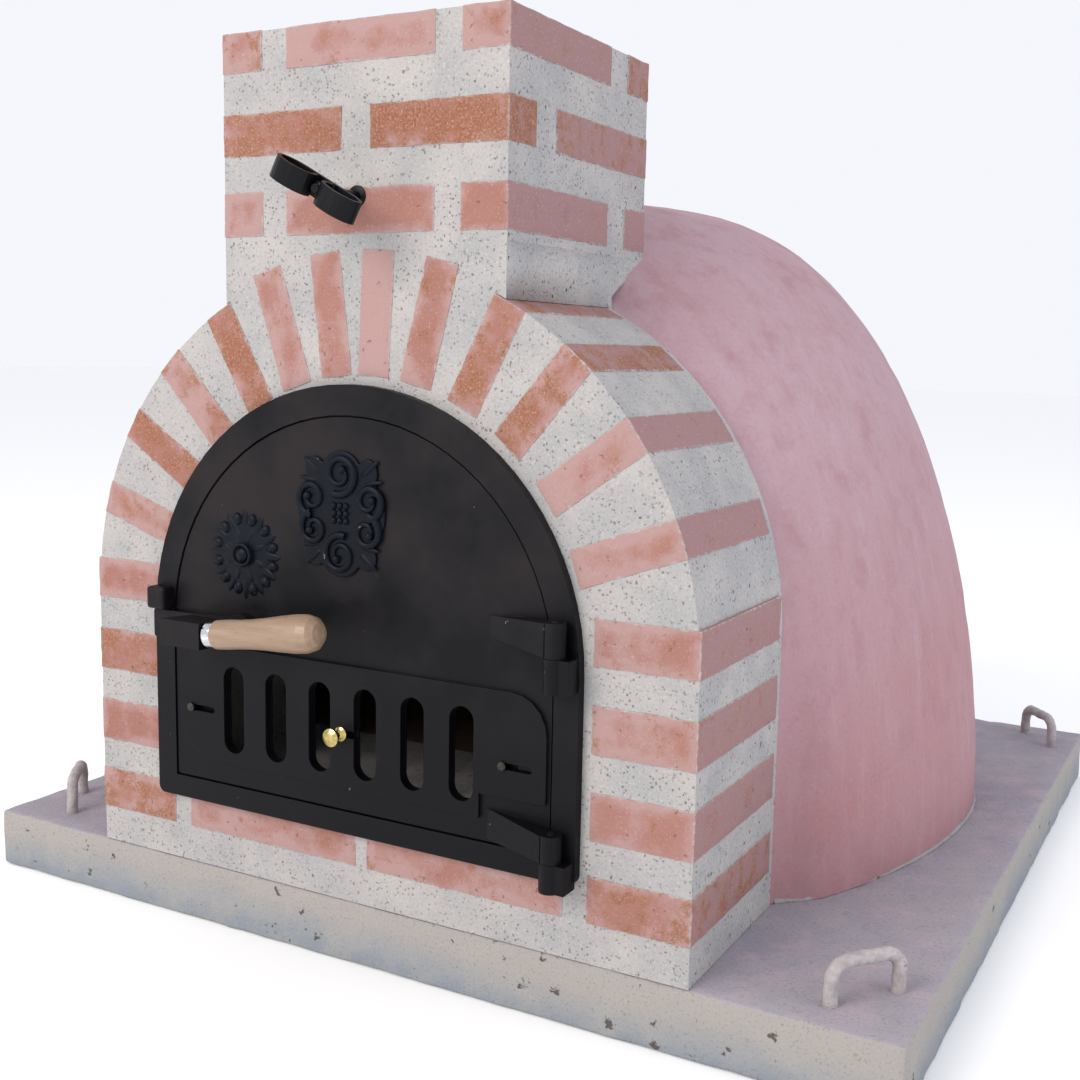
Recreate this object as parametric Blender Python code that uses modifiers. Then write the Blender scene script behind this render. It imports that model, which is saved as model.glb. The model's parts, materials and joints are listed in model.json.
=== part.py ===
"""Wood fired pizza oven: a concrete slab, a brick arch with a cast iron door, a chimney and a dome.

Metres, +Z up. The origin is the centre of the slab's underside, and the door faces -Y.
"""
import math

import bmesh
import bpy
from mathutils import Matrix, Vector

GAP = 0.0003                       # clearance between pieces that touch

# slab
SLAB_SIDE = 1.300
SLAB_THICK = 0.080
FRONT_Y = -SLAB_SIDE / 2           # the arch stands flush with the slab's front edge

# lifting loops, one bar bent into a U in each corner
LOOP_BAR_R = 0.007
LOOP_SPAN = 0.088
LOOP_HEIGHT = 0.046                # above the slab, to the bar's centre
LOOP_DEPTH = 0.045                 # into the slab
LOOP_BEND_R = 0.020
LOOP_X = 0.585
LOOP_Y = 0.568
LOOP_ANGLE = math.radians(52)

# arch wall
ARCH_X = -0.0105
ARCH_R = 0.4285
ARCH_SPRING_Z = 0.420
WALL_DEPTH = 0.259
WALL_BACK_Y = FRONT_Y + WALL_DEPTH
ARCH_STEPS = 36
BRICK_DEPTH = 0.247                # bricks stop short of the wall's back
SLIP_DEPTH = 0.058                 # bricks in front of the flue and round the chimney
ARCH_BRICK_IN_R = 0.299
ARCH_BRICK_WIDTH = 0.042
ARCH_ANGLES_LEFT = (6.9, 18.4, 30.2, 43.9, 57.6, 72.1)
ARCH_ANGLES_RIGHT = (14.3, 27.1, 40.6, 54.8, 70.5)
CROWN_ANGLE = 20.0                 # bricks nearer the top than this stand in front of the flue
CROWN_BRICK_OUT_R = 0.440
COLLAR_ANGLE = 32.0                # and bricks nearer than this reach under the chimney
PIER_BRICK_WIDTH = 0.1214
PIER_COURSES = ((0.4174, 0.4687), (0.3201, 0.3735), (0.2222, 0.2766))
BASE_COURSE = (0.1277, 0.1804)
BASE_JOINTS = ((-0.311, -0.283), (-0.020, -0.002), (0.264, 0.2955))
BASE_SLIP_DEPTH = 0.110

# chimney
CHIMNEY_X = -0.0166
CHIMNEY_WIDTH = 0.3926
CHIMNEY_DEPTH = 0.346
CHIMNEY_TOP_Z = 1.112
CHIMNEY_FOOT_Z = 0.868             # the arch wall's collar ends here
COLLAR_LOW_Z = 0.70
FLUE_HALF_WIDTH = 0.095
FLUE_FRONT_Y = -0.570
FLUE_BACK_Y = -0.420

# dome: an egg in plan that reaches further forward near its top, three shells thick
DOME_CENTRE_Y = 0.070
DOME_HALF_WIDTH = 0.572
DOME_FRONT_LENGTH = 0.715
DOME_FRONT_GROWTH = 0.200          # added to the front length from the base to the top
DOME_BACK_LENGTH = 0.520
DOME_HEIGHT = 0.894
DOME_PLAN_POWER = 2.05
DOME_SIDE_POWER = 2.50
DOME_TOP_POWER = 1.85
DOME_SEGMENTS = 44
DOME_RINGS = 22
RENDER_THICK = 0.025
INSULATION_THICK = 0.045
VAULT_THICK = 0.045
HEARTH_INSET = RENDER_THICK + INSULATION_THICK + VAULT_THICK + 0.018
HEARTH_ROWS = 28

# mouth and door
DOOR_X = -0.021
DOOR_SPRING_Z = 0.3975
FRAME_HALF_WIDTH = 0.3065
FRAME_BOTTOM_Z = 0.170
FRAME_SPRING_Z = 0.402
FRAME_PROUD = 0.012
FRAME_BACK_Y = -0.590
RECESS_HALF_WIDTH = 0.2755
LEAF_HALF_WIDTH = 0.2735
LEAF_BOTTOM_Z = 0.200
LIP_HALF_WIDTH = 0.2635
LIP_FLOOR_Z = 0.211
LIP_THICK = 0.004
SLEEVE_THICK = 0.008
LEAF_THICK = 0.006
LEAF_FRONT_Y = -0.6606
LEAF_BACK_Y = LEAF_FRONT_Y + LEAF_THICK
FRAME_FRONT_Y = FRONT_Y - FRAME_PROUD
MOUTH_HALF_WIDTH = LIP_HALF_WIDTH + SLEEVE_THICK + GAP
MOUTH_FLOOR_Z = LIP_FLOOR_Z - SLEEVE_THICK - GAP

# air slots
PANEL_RAISE = 0.0043
PANEL_FRONT_Y = LEAF_FRONT_Y - PANEL_RAISE
SLOT_COUNT = 6
SLOT_FIRST_X = -0.196
SLOT_PITCH = 0.067
SLOT_WIDTH = 0.0325
SLOT_Z = (0.2425, 0.3535)
SLIDER_THICK = 0.003
SLIDER_X = (-0.2785, 0.2055)
SLIDER_Z = (0.232, 0.362)
SLIDER_TRAVEL = SLOT_PITCH / 2
GUIDE_Z = 0.293
GUIDE_BOLT_X = (-0.266, 0.193)
BOLT_R = 0.003
BOLT_HEAD_R = 0.0055
KNOB_X = -0.029
KNOB_Z = 0.295
KNOB_SHANK_R = 0.0035
KNOB_HEAD_R = 0.011

# hinges
HINGE_X = 0.262
HINGE_Y = -0.676
KNUCKLE_R = 0.0125
PIN_R = 0.0045
HINGE_TOP_Z = (0.388, 0.4268, 0.466)      # frame knuckle foot, joint, leaf knuckle top
HINGE_LOW_Z = (0.166, 0.199, 0.231)
STRAP_FAR_X = 0.172

# latch
LATCH_X = -0.178
LATCH_Z = 0.406
LATCH_BAR_Y = (-0.671, -0.666)
LATCH_BAR_X = -0.322
LATCH_BAR_Z = (0.379, 0.4155)
LATCH_BOSS_R = 0.018
LATCH_STUD_R = 0.006
KEEPER_X = (-0.3235, -0.2945)
KEEPER_Z = (0.4175, 0.446)
HANDLE_Y = -0.730
HANDLE_START = (-0.178, 0.4085)           # x, z of the ferrule's bracket end
HANDLE_TILT = math.radians(7.3)
FERRULE_LENGTH = 0.013
FERRULE_R = 0.0155
GRIP_LENGTH = 0.155
TANG_R = 0.005
TANG_LENGTH = 0.110

# damper
DAMPER_Z = 0.920
DAMPER_TILT = math.radians(28)
SPINDLE_R = 0.005
SPINDLE_FRONT_Y = -0.728
SPINDLE_BACK_Y = -0.385
PLATE_HALF_X = 0.088
PLATE_THICK = 0.004
RING_CENTRE = 0.034
RING_RX = 0.025
RING_RY = 0.0145
STRIP_WIDTH = 0.025
STRIP_THICK = 0.0045
STRIP_BACK_Y = -0.712

CHIMNEY_LEFT = CHIMNEY_X - CHIMNEY_WIDTH / 2
CHIMNEY_RIGHT = CHIMNEY_X + CHIMNEY_WIDTH / 2
CHIMNEY_BACK_Y = FRONT_Y + CHIMNEY_DEPTH
ARCH_LEFT = ARCH_X - ARCH_R
ARCH_RIGHT = ARCH_X + ARCH_R


# ---------------------------------------------------------------- scene and materials

def clear_scene():
    for obj in list(bpy.data.objects):
        bpy.data.objects.remove(obj, do_unlink=True)
    for coll in list(bpy.data.collections):
        bpy.data.collections.remove(coll)


def new_collection(name):
    coll = bpy.data.collections.new(name)
    bpy.context.scene.collection.children.link(coll)
    return coll


def make_material(name, colour, roughness, metallic=0.0):
    mat = bpy.data.materials.new(name)
    mat.use_nodes = True
    bsdf = mat.node_tree.nodes["Principled BSDF"]
    bsdf.inputs["Base Color"].default_value = (*colour, 1.0)
    bsdf.inputs["Roughness"].default_value = roughness
    bsdf.inputs["Metallic"].default_value = metallic
    mat.diffuse_color = (*colour, 1.0)
    return mat


clear_scene()
PARTS = new_collection("wood_fired_pizza_oven")
CUTTERS = new_collection("cutters")

CONCRETE = make_material("slab_concrete", (0.50, 0.46, 0.42), 0.9)
MORTAR = make_material("lime_mortar", (0.62, 0.60, 0.56), 0.95)
BRICK = make_material("fired_brick", (0.56, 0.23, 0.15), 0.85)
RENDER = make_material("pink_lime_render", (0.60, 0.31, 0.30), 0.9)
WOOL = make_material("ceramic_fibre", (0.78, 0.76, 0.70), 1.0)
REFRACTORY = make_material("refractory_clay", (0.58, 0.44, 0.30), 0.9)
IRON = make_material("black_cast_iron", (0.022, 0.020, 0.020), 0.45, 0.3)
STEEL = make_material("black_steel", (0.015, 0.015, 0.017), 0.4, 0.6)
ZINC = make_material("zinc_plated_steel", (0.45, 0.45, 0.43), 0.35, 1.0)
CHROME = make_material("chromed_steel", (0.75, 0.75, 0.76), 0.12, 1.0)
BRASS = make_material("polished_brass", (0.80, 0.58, 0.25), 0.2, 1.0)
BEECH = make_material("beech", (0.66, 0.40, 0.20), 0.5)
REBAR = make_material("mortared_rebar", (0.50, 0.40, 0.34), 0.9)


# ---------------------------------------------------------------- shape helpers

def add_mesh(name, bm, mat):
    """Makes a part from a bmesh, or a hidden cutter where mat is None."""
    bmesh.ops.recalc_face_normals(bm, faces=bm.faces)
    mesh = bpy.data.meshes.new(name)
    bm.to_mesh(mesh)
    bm.free()
    obj = bpy.data.objects.new(name, mesh)
    if mat is None:
        CUTTERS.objects.link(obj)
        obj.hide_render = True
        obj.display_type = 'WIRE'
    else:
        PARTS.objects.link(obj)
        mesh.materials.append(mat)
    return obj


def add_box_to(bm, lo, hi):
    size = [b - a for a, b in zip(lo, hi)]
    centre = [(a + b) / 2 for a, b in zip(lo, hi)]
    matrix = Matrix.Translation(centre) @ Matrix.Diagonal((*size, 1.0))
    return bmesh.ops.create_cube(bm, size=1.0, matrix=matrix)["verts"]


def make_box(name, lo, hi, mat):
    bm = bmesh.new()
    add_box_to(bm, lo, hi)
    return add_mesh(name, bm, mat)


def add_rod_to(bm, start, end, radius, sides=24):
    start, end = Vector(start), Vector(end)
    along = end - start
    turn = along.to_track_quat('Z', 'Y').to_matrix().to_4x4()
    bmesh.ops.create_cone(
        bm, cap_ends=True, segments=sides, radius1=radius, radius2=radius,
        depth=along.length, matrix=Matrix.Translation((start + end) / 2) @ turn)


def make_rod(name, start, end, radius, mat, sides=24):
    bm = bmesh.new()
    add_rod_to(bm, start, end, radius, sides)
    obj = add_mesh(name, bm, mat)
    shade_round(obj)
    return obj


def shade_round(obj):
    obj.data.shade_smooth()
    obj.data.set_sharp_from_angle(angle=math.radians(35))


def boolean(obj, other, operation):
    mod = obj.modifiers.new(operation.lower(), 'BOOLEAN')
    mod.operation = operation
    mod.solver = 'EXACT'
    mod.object = other


def rounded_outline(corners, steps=5):
    """Points of a polygon whose corners (x, z, radius) are rounded."""
    points = []
    count = len(corners)
    for i in range(count):
        x, z, radius = corners[i]
        here = Vector((x, z))
        if radius <= 0:
            points.append((x, z))
            continue
        before = (Vector(corners[i - 1][:2]) - here).normalized()
        after = (Vector(corners[(i + 1) % count][:2]) - here).normalized()
        half = before.angle(after) / 2
        centre = here + (before + after).normalized() * radius / math.sin(half)
        first = here + before * radius / math.tan(half) - centre
        last = here + after * radius / math.tan(half) - centre
        sweep = first.angle_signed(last)
        for k in range(steps + 1):
            turned = first.copy()
            turned.rotate(Matrix.Rotation(-sweep * k / steps, 2))
            points.append(tuple(centre + turned))
    return points


def slot_outline(x0, x1, z0, z1, steps=8):
    radius = min(x1 - x0, z1 - z0) / 2 - 0.00001
    corners = [(x0, z0, radius), (x1, z0, radius), (x1, z1, radius), (x0, z1, radius)]
    return rounded_outline(corners, steps)


def arch_outline(centre_x, half_width, floor_z, spring_z, corner_r=0.0, steps=ARCH_STEPS):
    """A door shape: a straight floor and sides under a half circle."""
    foot = [(centre_x - half_width, floor_z, corner_r), (centre_x + half_width, floor_z, corner_r)]
    top = (centre_x + half_width, spring_z, 0)
    points = rounded_outline([(centre_x - half_width, spring_z, 0), *foot, top])
    for i in range(1, steps):
        angle = math.pi * i / steps
        points.append((centre_x + half_width * math.cos(angle), spring_z + half_width * math.sin(angle)))
    return points


def make_plate(name, outlines, y_front, y_back, mat):
    """A flat plate in the XZ plane: the first outline is its edge and the others are holes."""
    curve = bpy.data.curves.new(name + "_outline", 'CURVE')
    curve.dimensions = '2D'
    curve.fill_mode = 'BOTH'
    curve.extrude = (y_back - y_front) / 2
    for outline in outlines:
        spline = curve.splines.new('POLY')
        spline.points.add(len(outline) - 1)
        for point, (x, z) in zip(spline.points, outline):
            point.co = (x, z, 0, 1)
        spline.use_cyclic_u = True
    drawn = bpy.data.objects.new(name + "_outline", curve)
    CUTTERS.objects.link(drawn)
    drawn.rotation_euler = (math.pi / 2, 0, 0)
    drawn.location = (0, (y_front + y_back) / 2, 0)
    bpy.context.view_layer.update()
    evaluated = drawn.evaluated_get(bpy.context.evaluated_depsgraph_get())
    mesh = bpy.data.meshes.new_from_object(evaluated)
    bm = bmesh.new()
    bm.from_mesh(mesh)
    bm.transform(drawn.matrix_world)
    bmesh.ops.remove_doubles(bm, verts=bm.verts, dist=0.00001)
    bpy.data.meshes.remove(mesh)
    bpy.data.objects.remove(drawn)
    bpy.data.curves.remove(curve)
    return add_mesh(name, bm, mat)


def make_turned(name, profile, start, axis, mat, steps=32):
    """A profile of (radius, height), top to bottom, turned about the axis that leaves start."""
    bm = bmesh.new()
    verts = [bm.verts.new((radius, 0, height)) for radius, height in profile]
    for above, below in zip(verts, verts[1:]):
        bm.edges.new((above, below))
    if profile[0][0] > 0:
        bm.edges.new((verts[-1], verts[0]))
    mesh = bpy.data.meshes.new(name)
    bm.to_mesh(mesh)
    bm.free()
    obj = bpy.data.objects.new(name, mesh)
    PARTS.objects.link(obj)
    mesh.materials.append(mat)
    screw = obj.modifiers.new("turn", 'SCREW')
    screw.axis = 'Z'
    screw.steps = steps
    screw.render_steps = steps
    screw.use_merge_vertices = True
    screw.merge_threshold = 0.00005
    obj.location = start
    obj.rotation_euler = Vector(axis).to_track_quat('Z', 'Y').to_euler()
    return obj


def hang_on(axis_empty, *pieces):
    """Parents moving pieces to the empty on their joint's axis, without moving them."""
    bpy.context.view_layer.update()
    for piece in pieces:
        piece.parent = axis_empty
        piece.matrix_parent_inverse = axis_empty.matrix_world.inverted()


def make_axis(name, location, parent=None):
    empty = bpy.data.objects.new(name, None)
    PARTS.objects.link(empty)
    empty.empty_display_size = 0.05
    empty.location = location
    if parent is not None:
        hang_on(parent, empty)
    return empty


# ---------------------------------------------------------------- slab and loops

def loop_feet(sx, sy):
    """The two places where a corner's loop enters the slab."""
    along = Vector((math.cos(LOOP_ANGLE), -math.sin(LOOP_ANGLE) * sx * sy, 0))
    if sx * sy < 0:
        along = Vector((math.cos(LOOP_ANGLE), math.sin(LOOP_ANGLE), 0))
    centre = Vector((sx * LOOP_X, sy * LOOP_Y, 0))
    return centre - along * LOOP_SPAN / 2, centre + along * LOOP_SPAN / 2


def make_slab():
    half = SLAB_SIDE / 2
    slab = make_box("base_slab", (-half, -half, 0), (half, half, SLAB_THICK), CONCRETE)
    holes = bmesh.new()
    for sx in (-1, 1):
        for sy in (-1, 1):
            for foot in loop_feet(sx, sy):
                low = foot + Vector((0, 0, SLAB_THICK - LOOP_DEPTH - GAP))
                high = foot + Vector((0, 0, SLAB_THICK + 0.02))
                add_rod_to(holes, low, high, LOOP_BAR_R + 2 * GAP, 16)
    boolean(slab, add_mesh("loop_sockets", holes, None), 'DIFFERENCE')


def make_loop(name, sx, sy):
    left, right = loop_feet(sx, sy)
    top = Vector((0, 0, SLAB_THICK + LOOP_HEIGHT))
    foot = Vector((0, 0, SLAB_THICK - LOOP_DEPTH))
    across = (right - left).normalized()
    up = Vector((0, 0, 1))
    points = [left + foot]
    for corner, side in ((left, 1), (right, -1)):
        centre = corner + top + (across * side - up) * LOOP_BEND_R
        angles = [math.pi / 2 * k / 5 for k in range(6)]
        if side < 0:
            angles.reverse()
        for angle in angles:
            points.append(centre + LOOP_BEND_R * (up * math.sin(angle) - across * side * math.cos(angle)))
    points.append(right + foot)
    curve = bpy.data.curves.new(name, 'CURVE')
    curve.dimensions = '3D'
    curve.bevel_depth = LOOP_BAR_R
    curve.bevel_resolution = 2
    curve.use_fill_caps = True
    spline = curve.splines.new('POLY')
    spline.points.add(len(points) - 1)
    for point, place in zip(spline.points, points):
        point.co = (*place, 1)
    curve.materials.append(REBAR)
    PARTS.objects.link(bpy.data.objects.new(name, curve))


# ---------------------------------------------------------------- dome and hearth

def dome_plan_length(y, inset, share=0.0):
    """How far the plan reaches from the dome's centre, to the front or the back, at a share of its height."""
    if y < 0:
        return DOME_FRONT_LENGTH + DOME_FRONT_GROWTH * share - inset
    return DOME_BACK_LENGTH - inset


def make_dome_solid(name, inset, mat, front_y=None, drop=0.0):
    """A solid of the dome's shape, inset all round, cut flat at front_y and carried down by drop."""
    bm = bmesh.new()
    bmesh.ops.create_uvsphere(bm, u_segments=DOME_SEGMENTS, v_segments=DOME_RINGS, radius=1.0)
    geometry = list(bm.verts) + list(bm.edges) + list(bm.faces)
    bmesh.ops.bisect_plane(bm, geom=geometry, plane_co=(0, 0, 0), plane_no=(0, 0, 1), clear_inner=True)
    rim = [edge for edge in bm.edges if edge.is_boundary]
    bmesh.ops.contextual_create(bm, geom=rim)
    bmesh.ops.recalc_face_normals(bm, faces=bm.faces)
    # every shell gets the same triangles, so that the gap between two of them is even
    quads = [face for face in bm.faces if len(face.verts) == 4]
    bmesh.ops.triangulate(bm, faces=quads, quad_method='FIXED')
    for vert in bm.verts:
        across = min(1.0, math.hypot(vert.co.x, vert.co.y))
        rise = max(0.0, min(1.0, vert.co.z))
        angle = math.atan2(vert.co.y, vert.co.x)
        share = rise ** (2 / DOME_TOP_POWER) if rise > 1e-6 else 0.0
        width = across ** (2 / DOME_SIDE_POWER) if across > 1e-6 else 0.0
        length = dome_plan_length(vert.co.y, inset, share)
        cos, sin = math.cos(angle), math.sin(angle)
        x = math.copysign(abs(cos) ** (2 / DOME_PLAN_POWER), cos) * (DOME_HALF_WIDTH - inset) * width
        y = math.copysign(abs(sin) ** (2 / DOME_PLAN_POWER), sin) * length * width
        z = share * (DOME_HEIGHT - inset)
        vert.co = (ARCH_X + x, DOME_CENTRE_Y + y, SLAB_THICK + GAP + z)
    if drop > 0:
        base = [face for face in bm.faces if face.normal.z < -0.9 and len(face.verts) == DOME_SEGMENTS]
        lowered = bmesh.ops.extrude_face_region(bm, geom=base)["geom"]
        moved = [g for g in lowered if isinstance(g, bmesh.types.BMVert)]
        bmesh.ops.translate(bm, vec=(0, 0, -drop), verts=moved)
        for face in base:
            if face.is_valid:
                bm.faces.remove(face)
    if front_y is not None:
        geometry = list(bm.verts) + list(bm.edges) + list(bm.faces)
        bmesh.ops.bisect_plane(
            bm, geom=geometry, plane_co=(0, front_y, 0), plane_no=(0, 1, 0), clear_inner=True)
        rim = [edge for edge in bm.edges if edge.is_boundary]
        bmesh.ops.contextual_create(bm, geom=rim)
    obj = add_mesh(name, bm, mat)
    shade_round(obj)
    return obj


def make_dome_shell(name, inset, thick, mat):
    shell = make_dome_solid(name, inset, mat, WALL_BACK_Y + GAP)
    boolean(shell, make_dome_solid(name + "_hollow", inset + thick, None, drop=0.05), 'DIFFERENCE')
    return shell


def make_domes():
    make_dome_shell("render_dome", 0.0, RENDER_THICK - GAP, RENDER)
    make_dome_shell("insulation", RENDER_THICK, INSULATION_THICK - GAP, WOOL)
    make_dome_shell("inner_dome", RENDER_THICK + INSULATION_THICK, VAULT_THICK - GAP, REFRACTORY)


def hearth_half_width(y):
    """Half the hearth's width at y."""
    share = abs((y - DOME_CENTRE_Y) / dome_plan_length(y - DOME_CENTRE_Y, HEARTH_INSET))
    reach = max(0.0, 1 - share ** DOME_PLAN_POWER) ** (1 / DOME_PLAN_POWER)
    return (DOME_HALF_WIDTH - HEARTH_INSET) * reach


def make_hearth():
    """The refractory floor fills the chamber's plan up to the mouth's floor."""
    front = WALL_BACK_Y + GAP
    back = DOME_CENTRE_Y + DOME_BACK_LENGTH - HEARTH_INSET
    rows = [front + (back - front) * math.sin(math.pi / 2 * i / HEARTH_ROWS) for i in range(HEARTH_ROWS)]
    right = [(ARCH_X + hearth_half_width(y), y) for y in rows]
    left = [(2 * ARCH_X - x, y) for x, y in reversed(right)]
    bm = bmesh.new()
    verts = [bm.verts.new((x, y, SLAB_THICK + GAP)) for x, y in right + left]
    face = bm.faces.new(verts)
    lifted = bmesh.ops.extrude_face_region(bm, geom=[face])["geom"]
    rise = Vector((0, 0, MOUTH_FLOOR_Z - SLAB_THICK - GAP))
    bmesh.ops.translate(bm, vec=rise, verts=[g for g in lifted if isinstance(g, bmesh.types.BMVert)])
    add_mesh("hearth_floor", bm, REFRACTORY)


# ---------------------------------------------------------------- bricks

def place_brick(name, lo, hi, pockets, open_sides):
    """A brick laid flush in the mortar, and its pocket, open on the named sides."""
    make_box(name, lo, hi, BRICK)
    cut_lo = [v - GAP for v in lo]
    cut_hi = [v + GAP for v in hi]
    for side in open_sides:
        axis = "xyz".index(side[1])
        if side[0] == "-":
            cut_lo[axis] -= 0.02
        else:
            cut_hi[axis] += 0.02
    add_box_to(pockets, cut_lo, cut_hi)


def place_arch_brick(name, angle_deg, outer_pockets, collar_pockets):
    """A brick on a ray of the arch; angles run clockwise from the top.

    Its pocket is open at the arch's back surface, and closed where the chimney stands on it.
    """
    crown = abs(angle_deg) < CROWN_ANGLE
    half = ARCH_BRICK_WIDTH / 2
    flush_r = math.sqrt(ARCH_R ** 2 - half ** 2) - 0.0001
    out_r = CROWN_BRICK_OUT_R if crown else flush_r
    depth = SLIP_DEPTH if crown else BRICK_DEPTH
    turn = Matrix.Translation((ARCH_X, 0, ARCH_SPRING_Z)) @ Matrix.Rotation(math.radians(angle_deg), 4, 'Y')
    bm = bmesh.new()
    add_box_to(bm, (-half, FRONT_Y, ARCH_BRICK_IN_R), (half, FRONT_Y + depth, out_r))
    bm.transform(turn)
    add_mesh(name, bm, BRICK)
    if crown:
        pockets, past = collar_pockets, GAP
    elif abs(angle_deg) < COLLAR_ANGLE:
        pockets, past = collar_pockets, 0.002
    else:
        pockets, past = outer_pockets, 0.020
    cut_lo = (-half - GAP, FRONT_Y - 0.02, ARCH_BRICK_IN_R - GAP)
    cut_hi = (half + GAP, FRONT_Y + depth + GAP, out_r + past)
    bmesh.ops.transform(pockets, matrix=turn, verts=add_box_to(pockets, cut_lo, cut_hi))


def lay_arch_bricks(outer_pockets, collar_pockets):
    for i, angle in enumerate(ARCH_ANGLES_LEFT):
        place_arch_brick(f"arch_brick_left_{i + 1}", -angle, outer_pockets, collar_pockets)
    for i, angle in enumerate(ARCH_ANGLES_RIGHT):
        place_arch_brick(f"arch_brick_right_{i + 1}", angle, outer_pockets, collar_pockets)
    place_arch_brick("arch_brick_key", 3.0, outer_pockets, collar_pockets)


def lay_pier_bricks(pockets):
    back = FRONT_Y + BRICK_DEPTH
    for i, (low, high) in enumerate(PIER_COURSES):
        place_brick(f"pier_brick_left_{i + 1}", (ARCH_LEFT, FRONT_Y, low),
                    (ARCH_LEFT + PIER_BRICK_WIDTH, back, high), pockets, ("-x", "-y"))
        place_brick(f"pier_brick_right_{i + 1}", (ARCH_RIGHT - PIER_BRICK_WIDTH, FRONT_Y, low),
                    (ARCH_RIGHT, back, high), pockets, ("+x", "-y"))


def lay_base_course(pockets):
    low, high = BASE_COURSE
    back = FRONT_Y + BRICK_DEPTH
    slip_back = FRONT_Y + BASE_SLIP_DEPTH
    (left_end, slip_a), (slip_a_end, slip_b), (slip_b_end, right_start) = BASE_JOINTS
    place_brick("base_brick_left", (ARCH_LEFT, FRONT_Y, low), (left_end, back, high), pockets, ("-x", "-y"))
    place_brick("base_brick_middle_1", (slip_a, FRONT_Y, low), (slip_a_end, slip_back, high), pockets, ("-y",))
    place_brick("base_brick_middle_2", (slip_b, FRONT_Y, low), (slip_b_end, slip_back, high), pockets, ("-y",))
    place_brick("base_brick_right", (right_start, FRONT_Y, low), (ARCH_RIGHT, back, high), pockets, ("+x", "-y"))


def lay_chimney_bricks(pockets):
    """Three courses; the side bricks run past the front in the first and third."""
    left, right, back = CHIMNEY_LEFT, CHIMNEY_RIGHT, CHIMNEY_BACK_Y
    slip = SLIP_DEPTH
    for row, low, high, top in ((1, 1.0676, CHIMNEY_TOP_Z, ("+z",)), (3, 0.8794, 0.929, ())):
        side_end = FRONT_Y + 0.240
        name = f"chimney_brick_{row}_"
        place_brick(name + "left", (left, FRONT_Y, low), (left + slip, side_end, high),
                    pockets, ("-x", "-y", *top))
        place_brick(name + "right", (right - slip, FRONT_Y, low), (right, side_end, high),
                    pockets, ("+x", "-y", *top))
        place_brick(name + "front", (-0.118, FRONT_Y, low), (0.086, FRONT_Y + slip, high),
                    pockets, ("-y", *top))
        place_brick(name + "back_left", (left, back - slip, low), (CHIMNEY_X - 0.013, back, high),
                    pockets, ("-x", "+y", *top))
        place_brick(name + "back_right", (CHIMNEY_X + 0.013, back - slip, low), (right, back, high),
                    pockets, ("+x", "+y", *top))
    low, high = 0.972, 1.0191
    place_brick("chimney_brick_2_front_left", (left, FRONT_Y, low), (-0.040, FRONT_Y + slip, high),
                pockets, ("-x", "-y"))
    place_brick("chimney_brick_2_front_right", (0.001, FRONT_Y, low), (right, FRONT_Y + slip, high),
                pockets, ("+x", "-y"))
    place_brick("chimney_brick_2_left", (left, back - 0.240, low), (left + slip, back, high),
                pockets, ("-x", "+y"))
    place_brick("chimney_brick_2_right", (right - slip, back - 0.240, low), (right, back, high),
                pockets, ("+x", "+y"))


# ---------------------------------------------------------------- mortar bodies

def make_arch_wall(dome_seat):
    """The arch wall with the collar and the shelf that the chimney stands on, seated on the dome."""
    outline = arch_outline(ARCH_X, ARCH_R, SLAB_THICK + GAP, ARCH_SPRING_Z)
    wall = make_plate("arch_mortar", [outline], FRONT_Y, WALL_BACK_Y, MORTAR)
    collar = make_box("chimney_collar", (CHIMNEY_LEFT, FRONT_Y, COLLAR_LOW_Z),
                      (CHIMNEY_RIGHT, WALL_BACK_Y, CHIMNEY_FOOT_Z), None)
    shelf = make_box("chimney_shelf", (CHIMNEY_LEFT, WALL_BACK_Y - 0.010, COLLAR_LOW_Z),
                     (CHIMNEY_RIGHT, CHIMNEY_BACK_Y, CHIMNEY_FOOT_Z), None)
    boolean(shelf, dome_seat, 'DIFFERENCE')
    outer_pockets = bmesh.new()
    collar_pockets = bmesh.new()
    lay_arch_bricks(outer_pockets, collar_pockets)
    lay_pier_bricks(outer_pockets)
    lay_base_course(outer_pockets)
    boolean(wall, add_mesh("arch_pockets", outer_pockets, None), 'DIFFERENCE')
    boolean(wall, collar, 'UNION')
    boolean(wall, shelf, 'UNION')
    boolean(wall, add_mesh("collar_pockets", collar_pockets, None), 'DIFFERENCE')
    mouth = arch_outline(DOOR_X, MOUTH_HALF_WIDTH, MOUTH_FLOOR_Z, DOOR_SPRING_Z)
    boolean(wall, make_plate("mouth_cut", [mouth], FRONT_Y - 0.02, WALL_BACK_Y + 0.02, None), 'DIFFERENCE')
    boolean(wall, make_flue_cut("throat_cut", DOOR_SPRING_Z, CHIMNEY_FOOT_Z + 0.02), 'DIFFERENCE')


def make_flue_cut(name, low, high):
    return make_box(name, (CHIMNEY_X - FLUE_HALF_WIDTH, FLUE_FRONT_Y, low),
                    (CHIMNEY_X + FLUE_HALF_WIDTH, FLUE_BACK_Y, high), None)


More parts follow.
